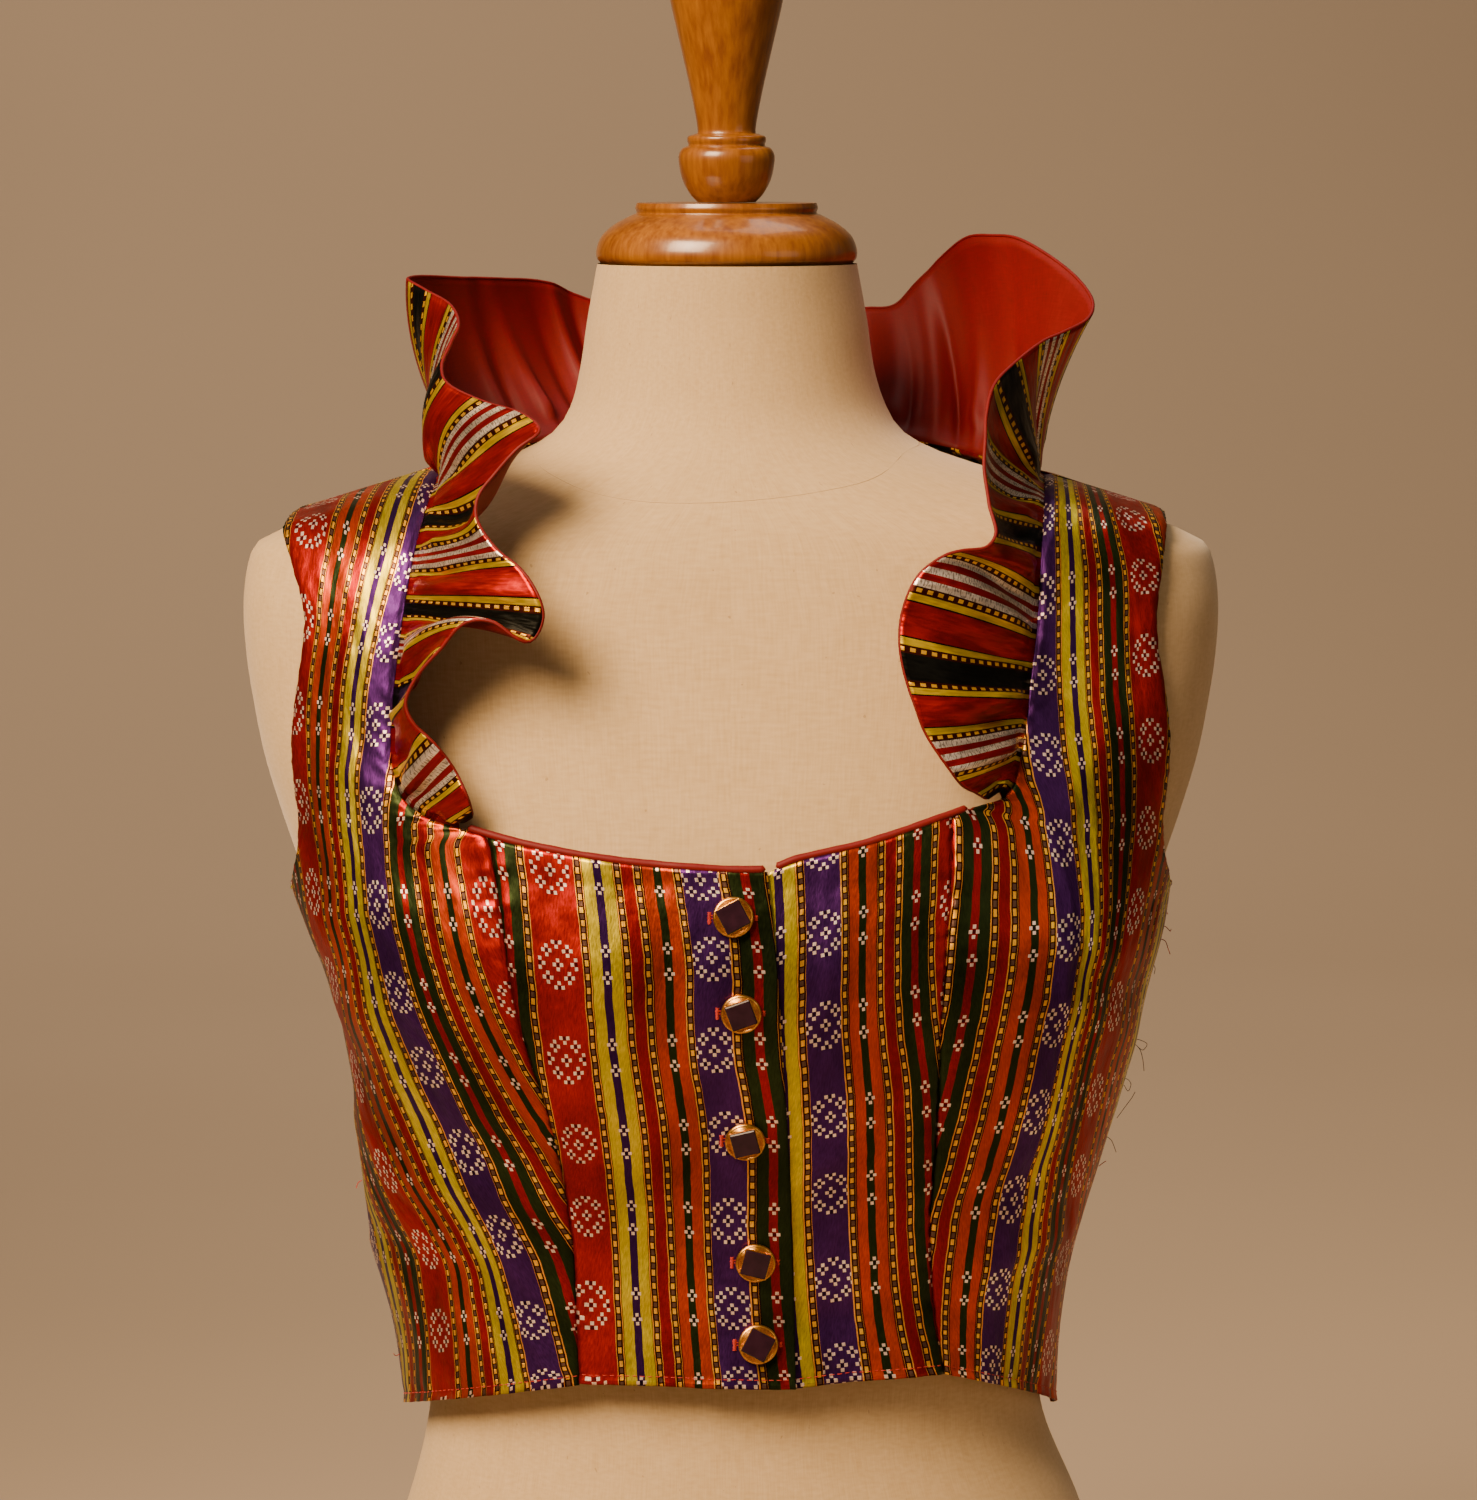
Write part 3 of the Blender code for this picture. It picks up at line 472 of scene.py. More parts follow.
def strap_row(x_in: float, z_in: float, z_out: float, columns: int) -> list[Vector]:
    """Row of a front side panel from its inner edge to the side seam or armhole."""
    side = math.copysign(1.0, x_in)
    start = section_angle(x_in, z_in)
    end = edge_angle(side, z_out, ARMHOLE_FRONT)
    x_out = section_point(end, z_out).x
    row = []
    for c in range(columns + 1):
        share = c / columns
        row.append(level_point(lerp(start, end, share), lerp(x_in, x_out, share), lerp(z_in, z_out, share)))
    return row


def side_panel_rows(rows: Sequence[Sequence[float]], shoulder_rows: Sequence[Sequence[float]],
                    columns: int) -> list[list[Vector]]:
    """Main rows of a front side panel from the hem over the bust and up to the shoulder line."""
    grid = [strap_row(*row, columns) for row in rows]
    last_x = (rows[-1][0], grid[-1][-1].x)
    reached = 0.0
    for (x_in, x_out), target in zip(shoulder_rows, SHOULDER_SHARES):
        for step in (0.5, 1.0):
            inner, outer = lerp(last_x[0], x_in, step), lerp(last_x[1], x_out, step)
            rise = lerp(reached, target, step)
            grid.append([profile_point(lerp(inner, outer, c / columns), rise, STRAIGHT_FROM)
                         for c in range(columns + 1)])
        last_x, reached = (x_in, x_out), target
    return grid


def centre_panel_rows(inner_edge: Callable[[float], float], outer_edge: Callable[[float], float],
                      shift: Callable[[float, float], float], drop: float, columns: int,
                      rows: int) -> list[list[Vector]]:
    """Rows of a front panel between two edges, from the hem to the neckline less a drop."""
    grid = []
    for r in range(rows + 1):
        line = []
        for c in range(columns + 1):
            share = c / columns
            hem = straight(FRONT_HEM, lerp(inner_edge(HEM_LEVEL), outer_edge(HEM_LEVEL), share))
            x_top = lerp(inner_edge(NECK_LEVEL), outer_edge(NECK_LEVEL), share)
            top = straight(FRONT_NECK, x_top) - (drop if x_top < straight(LAP_EDGE, LAP_TOP) else 0.0)
            height = lerp(hem, top, r / rows)
            x = lerp(inner_edge(height), outer_edge(height), share)
            point = vest_point(x, height)
            line.append(point + surface_normal(point) * shift(x, height))
        grid.append(line)
    return grid


def back_main_rows() -> list[list[Vector]]:
    """Main rows of the back, from the hem to the shoulder lines and the back neckline."""
    grid = []
    for r in range(BACK_LOWER_ROWS):
        line = []
        for _, share, _ in BACK_COLUMNS:
            hem = lerp(BACK_HEM_CENTRE, BACK_HEM_SIDE, abs(2.0 * share - 1.0) ** 2)
            height = lerp(hem, UNDERARM, r / BACK_LOWER_ROWS)
            line.append(section_point(math.pi * (share - 0.5), height, back=True))
        grid.append(line)
    for at_edge, at_centre in BACK_ROWS:
        line = []
        for x, share, _ in BACK_COLUMNS:
            height = lerp(at_centre, at_edge, abs(2.0 * share - 1.0) ** 1.5)
            start = edge_angle(-1, height, ARMHOLE_BACK, back=True)
            end = edge_angle(1, height, ARMHOLE_BACK, back=True)
            line.append(level_point(lerp(start, end, share), x, height, back=True))
        grid.append(line)
    level = grid[-1]
    for rise in BACK_SHOULDER_SHARES:
        grid.append([profile_point(lerp(start.x, x, rise), rise, start.z, back=True, top=top)
                     for start, (x, _, top) in zip(level, BACK_COLUMNS)])
    return grid


def lap_raise(x: float, height: float) -> float:
    """How far the upper front panel is lifted over the panel under it."""
    distance = straight(LAP_EDGE, height) - x
    level = UNDERLAP + LAP_MARGIN
    return (VEST_WALL + SEAM_GAP) * (1.0 - smoothstep(level, level + LAP_RUN, distance))


def unraised(_x: float, _height: float) -> float:
    """No lift, for a piece that lies straight on the form."""
    return 0.0


def over_lap(x: float, height: float, lift: float) -> Vector:
    """Point at a distance above the front of the vest, over the panel that laps."""
    point = vest_point(x, height)
    return point + surface_normal(point) * (lap_raise(x, height) + lift)


def refine(points: np.ndarray, factor: int) -> np.ndarray:
    """Points with a smooth curve through them along the first axis.

    Args:
        points: Array whose first axis runs along the curve.
        factor: Number of steps between two given points.

    Returns:
        The finer array, which holds every given point.
    """
    first = 2 * points[:1] - points[1:2]
    last = 2 * points[-1:] - points[-2:-1]
    padded = np.concatenate([first, points, last])
    parts = []
    for step in range(factor):
        t = step / factor
        parts.append(0.5 * (
            2 * padded[1:-2] + (padded[2:-1] - padded[:-3]) * t
            + (2 * padded[:-3] - 5 * padded[1:-2] + 4 * padded[2:-1] - padded[3:]) * t ** 2
            + (-padded[:-3] + 3 * padded[1:-2] - 3 * padded[2:-1] + padded[3:]) * t ** 3
        ))
    stacked = np.stack(parts, axis=1).reshape((-1,) + points.shape[1:])
    return np.concatenate([stacked, points[-1:]])


def refine_columns(grid: np.ndarray, factor: int) -> np.ndarray:
    """Grid made finer along its second axis."""
    return np.swapaxes(refine(np.swapaxes(grid, 0, 1), factor), 0, 1)


def as_array(grid: Sequence[Sequence[Vector]]) -> np.ndarray:
    """Rows of vectors as one array of rows, columns and three coordinates."""
    return np.array([[tuple(point) for point in row] for row in grid])


def grid_normals(grid: np.ndarray) -> np.ndarray:
    """Unit normals of a grid, along its columns' direction crossed with its rows' direction."""
    up = np.gradient(grid, axis=0)
    across = np.gradient(grid, axis=1)
    normal = np.cross(across, up)
    return normal / np.maximum(1e-9, np.linalg.norm(normal, axis=2, keepdims=True))


def arc_lengths(grid: np.ndarray, axis: int) -> np.ndarray:
    """Length from the first point along an axis of a grid."""
    steps = np.linalg.norm(np.diff(grid, axis=axis), axis=2)
    zero = np.zeros_like(np.take(steps, [0], axis=axis))
    return np.concatenate([zero, np.cumsum(steps, axis=axis)], axis=axis)


def run_lengths(points: np.ndarray) -> np.ndarray:
    """Length along a line of points from its first one."""
    return np.concatenate([[0.0], np.cumsum(np.linalg.norm(np.diff(points, axis=0), axis=1))])


def evened(values: np.ndarray, width: int, **padding: str) -> np.ndarray:
    """Values evened out along a line by a soft window of an odd width."""
    kernel = np.hanning(width) / np.hanning(width).sum()
    return np.convolve(np.pad(values, width // 2, **padding), kernel, mode="valid")


def hex_colour(text: str) -> tuple[float, float, float, float]:
    """Linear colour with full alpha from an sRGB hex value such as "c0a070"."""
    values = [int(text[i:i + 2], 16) / 255.0 for i in (0, 2, 4)]
    linear = [v / 12.92 if v <= 0.04045 else ((v + 0.055) / 1.055) ** 2.4 for v in values]
    return (*linear, 1.0)


def add_node(tree: bpy.types.NodeTree, kind: str, inputs: dict | None = None, **settings) -> bpy.types.Node:
    """Node with its settings, values and links.

    Args:
        tree: The tree that gets the node.
        kind: The shader node's type without its prefix.
        inputs: Value or output socket for each input, by name or index.
        **settings: Properties of the node.

    Returns:
        The new node.
    """
    node = tree.nodes.new("ShaderNode" + kind)
    for key, value in settings.items():
        setattr(node, key, value)
    for key, value in (inputs or {}).items():
        if isinstance(value, bpy.types.NodeSocket):
            tree.links.new(value, node.inputs[key])
        else:
            node.inputs[key].default_value = value
    return node


class Recipe:
    """Node tree that is written down as a list of named steps."""

    def __init__(self, name: str) -> None:
        """Start an empty material tree."""
        self.material = bpy.data.materials.new(name)
        self.material.use_nodes = True
        self.tree = self.material.node_tree
        self.tree.nodes.clear()
        self.sockets: dict[str, bpy.types.NodeSocket] = {}

    def value(self, item: object) -> object:
        """Socket of a named step, or the plain value itself."""
        return self.sockets[item] if isinstance(item, str) else item

    def follow(self, steps: Iterable[Sequence]) -> None:
        """Add a node for each step.

        Args:
            steps: Rows of a name, a kind with its operation, and the inputs in order. An operation alone,
                in capitals, is one of the Math node.
        """
        for name, spec, *items in steps:
            kind, _, operation = spec.partition(":")
            if kind.isupper():
                kind, operation = "Math", kind
            if kind == "Mix":
                keys, out = (0, 6, 7), 2
                settings = {"data_type": "RGBA", "blend_type": operation or "MIX"}
            else:
                keys, out = range(len(items)), 0
                settings = {"operation": operation} if operation else {}
            inputs = {key: self.value(item) for key, item in zip(keys, items)}
            self.sockets[name] = add_node(self.tree, kind, inputs, **settings).outputs[out]

    def ramp(self, name: str, fac: str, stops: Sequence[tuple[float, Sequence[float]]]) -> None:
        """Stepped colour ramp with the given stops of a place and a colour."""
        node = add_node(self.tree, "ValToRGB", {0: self.sockets[fac]})
        ramp = node.color_ramp
        ramp.interpolation = "CONSTANT"
        while len(ramp.elements) > 1:
            ramp.elements.remove(ramp.elements[-1])
        for index, (place, colour) in enumerate(stops):
            element = ramp.elements[0] if index == 0 else ramp.elements.new(place)
            element.position = place
            element.color = tuple(colour)
        self.sockets[name] = node.outputs[0]

    def palette(self, index: str, colours: Sequence[str]) -> None:
        """Step "ground": the colour whose number a step carries."""
        count = len(colours)
        self.follow((("index", "MULTIPLY_ADD", index, 1.0 / count, 0.5 / count),))
        self.ramp("ground", "index", [(i / count, hex_colour(c)) for i, c in enumerate(colours)])

    def split(self, source: str, kind: str, *names: str) -> None:
        """Name the parts of a vector or a colour."""
        node = add_node(self.tree, "Separate" + kind, {0: self.sockets[source]})
        self.sockets.update(zip(names, node.outputs))

    def read_cloth(self) -> None:
        """Step "uv": the place on the cut cloth."""
        self.sockets["uv"] = add_node(self.tree, "UVMap", uv_map="cloth").outputs[0]

    def read_place(self) -> None:
        """Step "place": the object's own coordinates."""
        self.sockets["place"] = add_node(self.tree, "TexCoord").outputs["Object"]

    def noises(self, *rows: tuple) -> None:
        """Noises, each from its name, a vector, its stretch along the axes, detail and any roughness."""
        for name, source, stretch, *options in rows:
            self.follow(((f"{name}_read", "VectorMath:MULTIPLY", source, stretch),))
            self.noise(name, f"{name}_read", 1.0, *options)

    def noise(self, name: str, vector: str, scale: float, detail: float = 2.0,
              roughness: float = 0.5) -> None:
        """Noise value about 0.5 read at a vector."""
        node = add_node(self.tree, "TexNoise", {"Vector": self.sockets[vector], "Scale": scale,
                                                "Detail": detail, "Roughness": roughness})
        self.sockets[name] = node.outputs[0]

    def finish(self, colour: str, roughness: object, height: str | None = None,
               bump: tuple[float, float] = (0.3, 0.0002), **plain: object) -> bpy.types.Material:
        """Close the tree with a Principled shader.

        Args:
            colour: Name of the colour step.
            roughness: Value or name of the roughness step.
            height: Name of the height step for the bump, if any.
            bump: Strength and distance of the bump.
            **plain: Constant values of the shader's own sockets, with _ for a space.

        Returns:
            The finished material.
        """
        inputs: dict = {"Base Color": self.sockets[colour], "Roughness": self.value(roughness)}
        if height:
            bumped = add_node(self.tree, "Bump", {"Height": self.sockets[height], "Strength": bump[0],
                                                  "Distance": bump[1]})
            inputs["Normal"] = bumped.outputs[0]
        inputs.update({key.replace("_", " "): value for key, value in plain.items()})
        shader = add_node(self.tree, "BsdfPrincipled", inputs)
        add_node(self.tree, "OutputMaterial", {"Surface": shader.outputs[0]})
        return self.material


class VestStripe(Enum):
    """Kinds of lengthwise stripe in the vest cloth. The value is the number that the ramp carries."""

    RED_ROSETTE = 0
    PURPLE_ROSETTE = 1
    GUARD = 2
    PLAIN_RED = 3
    BAND_EDGE = 4
    BAND_FLOWER = 5


class RibbonStripe(Enum):
    """Kinds of stripe in the ruffle's ribbon cloth. The value is the number that the ramp carries."""

    BLACK = 0
    GUARD = 1
    YELLOW = 2
    THIN_BLACK = 3
    RED = 4
    WHITE = 5
    NARROW_RED = 6


# Third of the vest cloth's repeat: stripe, its width, number of the band that it is part of
VEST_THIRD = (
    (VestStripe.RED_ROSETTE, 20.5, 0),
    (VestStripe.GUARD, 3.5, 0),
    (VestStripe.BAND_EDGE, 5.0, 0), (VestStripe.BAND_FLOWER, 3.5, 0), (VestStripe.BAND_EDGE, 5.0, 0),
    (VestStripe.GUARD, 3.5, 0),
    (VestStripe.PLAIN_RED, 5.0, 0),
    (VestStripe.GUARD, 3.5, 0),
    (VestStripe.BAND_EDGE, 5.0, 1), (VestStripe.BAND_FLOWER, 3.5, 1), (VestStripe.BAND_EDGE, 5.0, 1),
    (VestStripe.GUARD, 3.5, 1),
    (VestStripe.PURPLE_ROSETTE, 15.0, 1),
    (VestStripe.GUARD, 3.5, 1),
    (VestStripe.BAND_EDGE, 5.0, 2), (VestStripe.BAND_FLOWER, 3.5, 2), (VestStripe.BAND_EDGE, 5.0, 2),
    (VestStripe.GUARD, 3.5, 2),
    (VestStripe.PLAIN_RED, 5.0, 2),
    (VestStripe.GUARD, 3.5, 2),
    (VestStripe.BAND_EDGE, 5.0, 3), (VestStripe.BAND_FLOWER, 3.5, 3), (VestStripe.BAND_EDGE, 5.0, 3),
    (VestStripe.GUARD, 3.5, 3),
)
# Repeat of the ruffle's ribbon cloth: stripe, its width in ramp steps
RIBBON_REPEAT = (
    (RibbonStripe.BLACK, 35), (RibbonStripe.GUARD, 10), (RibbonStripe.YELLOW, 9),
    (RibbonStripe.THIN_BLACK, 2),
    (RibbonStripe.RED, 43), (RibbonStripe.THIN_BLACK, 2), (RibbonStripe.YELLOW, 9), (RibbonStripe.GUARD, 10),
    (RibbonStripe.WHITE, 10), (RibbonStripe.NARROW_RED, 10), (RibbonStripe.WHITE, 10),
    (RibbonStripe.NARROW_RED, 10), (RibbonStripe.WHITE, 10),
    (RibbonStripe.GUARD, 10), (RibbonStripe.YELLOW, 9), (RibbonStripe.THIN_BLACK, 2),
    (RibbonStripe.RED, 43), (RibbonStripe.THIN_BLACK, 2), (RibbonStripe.YELLOW, 9), (RibbonStripe.GUARD, 10),
)
RAMP_STEPS = 255
# A stop stands this part of a ramp step before its edge, so that rounding never moves the edge
RAMP_EARLY = 0.4
# Highest stripe and band number that a ramp's red and blue can carry
STRIPE_CODES = 8.0
BAND_CODES = 4.0
THIRD_WIDTH = 127.5
RIBBON_WIDTH = 82.9
ROSETTE_PITCH = 38.4
GUARD_PITCH = 5.57
# Rosette chart, a quarter of it: columns of white squares in each row from the centre outwards,
# then the columns of the dark eyes of its small flowers
ROSETTE_ROWS = ((1, 4), (0, 5), (3,), (2, 4), (0, 3), (1,))
ROSETTE_EYES = ((0, 5), (), (), (3,), (), (0,))
CHART_COLUMNS = 6
CHART_CELL = (1.50, 1.82)


@dataclass(frozen=True)
class VestSatin:
    """Warp-faced satin with lengthwise stripes, woven guards and white float rosettes.

    The dense silky warp gives soft highlights across the body; broad painted light and shade in the colour
    stands for the folds and hollows of the drape.
    """

    name: str = "striped_rosette_satin"
    colours: tuple[str, ...] = ("98140a", "3e1c58", "2c0e08", "860e08", "ac380a", "c0b016", "222c14",
                                "1e2812", "301448", "860e08")
    white: str = "f0d8cc"
    eye: str = "1a0a10"
    gold: str = "f4b428"
    grey: str = "5e463c"
    line: str = "e8a040"

    def stripe_stops(self) -> list[tuple[float, tuple[float, float, float, float]]]:
        """Stops that carry stripe number, middle and band number across a third of the repeat."""
        stops = []
        edge = 0.0
        middles = []
        for _, width, _ in VEST_THIRD:
            middles.append(edge + width / 2.0)
            edge += width
        edge = 0.0
        for index, (stripe, width, band) in enumerate(VEST_THIRD):
            middle = middles[index]
            if stripe is VestStripe.BAND_EDGE:
                other = index + 1 if VEST_THIRD[index + 1][0] is VestStripe.BAND_FLOWER else index - 1
                middle = middles[other]
            place = max(0.0, (edge * 2.0 - RAMP_EARLY) / RAMP_STEPS)
            stops.append((place, (stripe.value / STRIPE_CODES, middle / THIRD_WIDTH, band / BAND_CODES, 1.0)))
            edge += width
        return stops

    def rosette_stops(self) -> list[tuple[float, tuple[float, float, float, float]]]:
        """Stops of the rosette chart: 1 for a white square, 0.5 for a dark eye and 0 for ground."""
        cells = []
        for whites, eyes in zip(ROSETTE_ROWS, ROSETTE_EYES):
            cells += [1.0 if c in whites else 0.5 if c in eyes else 0.0 for c in range(CHART_COLUMNS)]
        stops = []
        last = None
        for index, value in enumerate(cells):
            if value != last:
                stops.append((index / len(cells), (value, value, value, 1.0)))
                last = value
        return stops

    def build(self) -> bpy.types.Material:
        """Make the material, which reads the cloth's own UV map."""
        recipe = Recipe(self.name)
        recipe.read_cloth()
        recipe.split("uv", "XYZ", "metres", "metres_y")
        recipe.follow((
            ("lean", "MULTIPLY_ADD", "metres_y", 0.22, "metres"),
            ("leaning", "CombineXYZ", "lean", "metres_y", 0.0),
        ))
        recipe.noises(
            ("warp", "leaning", (1500.0, 330.0, 1.0), 2.0),
            ("patch", "uv", (130.0, 70.0, 1.0), 2.0),
            ("drape", "leaning", (38.0, 19.0, 1.0), 2.0),
            ("waver", "uv", (60.0, 110.0, 1.0), 1.0),
            ("slub", "uv", (1900.0, 260.0, 1.0), 1.0),
        )
        recipe.follow((
            ("waver_mm", "MULTIPLY_ADD", "waver", 0.9, -0.45),
            ("u", "MULTIPLY_ADD", "metres", 1000.0, "waver_mm"),
            ("v", "MULTIPLY", "metres_y", 1000.0),
            ("u_up", "ADD", "u", 6 * THIRD_WIDTH),
            ("repeat", "DIVIDE", "u_up", THIRD_WIDTH),
            ("third", "FLOOR", "repeat"),
            ("share", "FRACT", "repeat"),
        ))
        recipe.ramp("stripe", "share", self.stripe_stops())
        recipe.split("stripe", "Color", "code", "middle", "band_code")
        recipe.follow((
            ("role", "MULTIPLY", "code", STRIPE_CODES),
            ("x_share", "SUBTRACT", "share", "middle"),
            ("x_mm", "MULTIPLY", "x_share", THIRD_WIDTH),
            ("ax", "ABSOLUTE", "x_mm"),
            ("band", "MULTIPLY_ADD", "band_code", BAND_CODES, "third"),
            ("band_half", "ADD", "band", 0.25),
            ("band_turn", "MODULO", "band_half", 3.0),
            ("band_index", "FLOOR", "band_turn"),
            ("is_band", "GREATER_THAN", "role", 3.5),
            ("is_flower", "GREATER_THAN", "role", 4.5),
            ("band_part", "MULTIPLY", "is_band", "band_index"),
            ("flower_part", "MULTIPLY", "is_flower", 2.0),
            ("index_a", "ADD", "role", "band_part"),
            ("index_b", "ADD", "index_a", "flower_part"),
        ))
        recipe.palette("index_b", self.colours)
        recipe.follow((
            # place along the warp, from the middle of the nearest rosette
            ("v_up", "ADD", "v", 40 * ROSETTE_PITCH),
            ("v_repeat", "MULTIPLY_ADD", "v_up", 1.0 / ROSETTE_PITCH, 0.5),
            ("v_share", "FRACT", "v_repeat"),
            ("v_mm", "MULTIPLY_ADD", "v_share", ROSETTE_PITCH, -ROSETTE_PITCH / 2.0),
            ("ay", "ABSOLUTE", "v_mm"),
            ("cx", "MULTIPLY_ADD", "ax", 1.0 / CHART_CELL[0], 0.5),
            ("cy", "MULTIPLY_ADD", "ay", 1.0 / CHART_CELL[1], 0.5),
            ("ix", "FLOOR", "cx"),
            ("iy", "FLOOR", "cy"),
            ("fx", "FRACT", "cx"),
            ("fy", "FRACT", "cy"),
            ("fx_off", "SUBTRACT", "fx", 0.5),
            ("fy_off", "SUBTRACT", "fy", 0.5),
            ("fx_abs", "ABSOLUTE", "fx_off"),
            ("fy_abs", "ABSOLUTE", "fy_off"),
            ("fy_tall", "MULTIPLY", "fy_abs", 1.12),
            ("f_max", "MAXIMUM", "fx_abs", "fy_tall"),
            ("in_square", "LESS_THAN", "f_max", 0.465),
            ("cell", "MULTIPLY_ADD", "iy", float(CHART_COLUMNS), "ix"),
            ("cell_place", "MULTIPLY_ADD", "cell", 1.0 / 36.0, 0.5 / 36.0),
            ("in_columns", "LESS_THAN", "ix", 5.5),
            ("in_rows", "LESS_THAN", "iy", 5.5),
            ("is_rosette", "LESS_THAN", "role", 1.5),
            ("chart_a", "MULTIPLY", "in_columns", "in_rows"),
            ("chart_b", "MULTIPLY", "chart_a", "is_rosette"),
            ("chart_c", "MULTIPLY", "chart_b", "in_square"),
        ))
        recipe.ramp("chart", "cell_place", self.rosette_stops())
        recipe.follow((
            ("chart_value", "MULTIPLY", "chart", "chart_c"),
            ("rosette_white", "GREATER_THAN", "chart_value", 0.75),
            ("rosette_any", "GREATER_THAN", "chart_value", 0.25),
            # small flower pairs in the bands
            ("pair_off", "SUBTRACT", "ay", 5.6),
            ("pair", "ABSOLUTE", "pair_off"),
            ("side_off", "SUBTRACT", "ax", 1.48),
            ("side_abs", "ABSOLUTE", "side_off"),
            ("side_max", "MAXIMUM", "side_abs", "pair"),
            ("side_square", "LESS_THAN", "side_max", 0.71),
            ("top_off", "SUBTRACT", "pair", 1.9),
            ("top_abs", "ABSOLUTE", "top_off"),
            ("top_max", "MAXIMUM", "top_abs", "ax"),
            ("top_square", "LESS_THAN", "top_max", 0.71),
            ("eye_max", "MAXIMUM", "ax", "pair"),
            ("eye_square", "LESS_THAN", "eye_max", 0.7),
            ("pair_squares", "MAXIMUM", "side_square", "top_square"),
            ("pair_white", "MULTIPLY", "pair_squares", "is_band"),
            ("pair_eye", "MULTIPLY", "eye_square", "is_band"),
            ("white", "MAXIMUM", "rosette_white", "pair_white"),
            ("dark_a", "MAXIMUM", "rosette_any", "pair_eye"),
            ("dark", "MULTIPLY", "dark_a", 0.8),
            # guards: gold and grey floats between two thin lines
            ("role_guard", "COMPARE", "role", 2.0, 0.3),
            ("beat", "MULTIPLY", "v_up", 1.0 / GUARD_PITCH),
            ("beat_share", "FRACT", "beat"),
            ("gold_run", "LESS_THAN", "beat_share", 0.44),
            ("grey_low", "GREATER_THAN", "beat_share", 0.54),
            ("grey_high", "LESS_THAN", "beat_share", 0.90),
            ("grey_run", "MULTIPLY", "grey_low", "grey_high"),
            ("inner", "LESS_THAN", "ax", 0.74),
            ("outer", "GREATER_THAN", "ax", 1.43),
            ("gold_in", "MULTIPLY", "gold_run", "inner"),
            ("grey_in", "MULTIPLY", "grey_run", "inner"),
            ("gold_at", "MULTIPLY", "gold_in", "role_guard"),
            ("grey_at", "MULTIPLY", "grey_in", "role_guard"),
            ("line_at", "MULTIPLY", "outer", "role_guard"),
            ("with_line", "Mix:MIX", "line_at", "ground", hex_colour(self.line)),
            ("with_grey", "Mix:MIX", "grey_at", "with_line", hex_colour(self.grey)),
            ("edge_far", "GREATER_THAN", "ax", 6.38),
            ("edge_line", "MULTIPLY", "edge_far", "is_band"),
            ("edge_soft", "MULTIPLY", "edge_line", 0.85),
            ("with_edge", "Mix:MIX", "edge_soft", "with_grey", hex_colour(self.eye)),
            ("with_gold", "Mix:MIX", "gold_at", "with_edge", hex_colour(self.gold)),
            ("with_eye", "Mix:MIX", "dark", "with_gold", hex_colour(self.eye)),
            ("with_white", "Mix:MIX", "white", "with_eye", hex_colour(self.white)),
            # silky warp: streaks of lighter and darker ends, random blotches, and broad painted light and
            # shade of drape folds
            ("streak", "MULTIPLY_ADD", "warp", 1.10, 0.45),
            ("blotch", "MULTIPLY_ADD", "patch", 0.60, 0.70),
            # painted light and shade: the broad noise that also bumps the drape lightens and darkens the
            # colour as if over folds and hollows
            ("hollow", "MULTIPLY_ADD", "drape", 1.7, 0.15),
            ("uneven", "MULTIPLY", "blotch", "hollow"),
            ("tone", "MULTIPLY", "streak", "uneven"),
            ("tone_colour", "CombineXYZ", "tone", "tone", "tone"),
            ("shaded", "Mix:MULTIPLY", 1.0, "with_white", "tone_colour"),
            ("gloss", "MULTIPLY_ADD", "warp", 0.22, 0.28),
            ("float_height", "MAXIMUM", "white", "gold_at"),
            ("grain_height", "MULTIPLY", "slub", 0.8),
            ("fine_height", "ADD", "float_height", "grain_height"),
            ("puffed", "MULTIPLY_ADD", "patch", 6.0, "fine_height"),
            ("height", "MULTIPLY_ADD", "drape", 45.0, "puffed"),
        ))
        return recipe.finish("shaded", "gloss", "height", (0.45, 0.00018), Metallic=0.82,
                             Specular_IOR_Level=0.2, IOR=1.5)


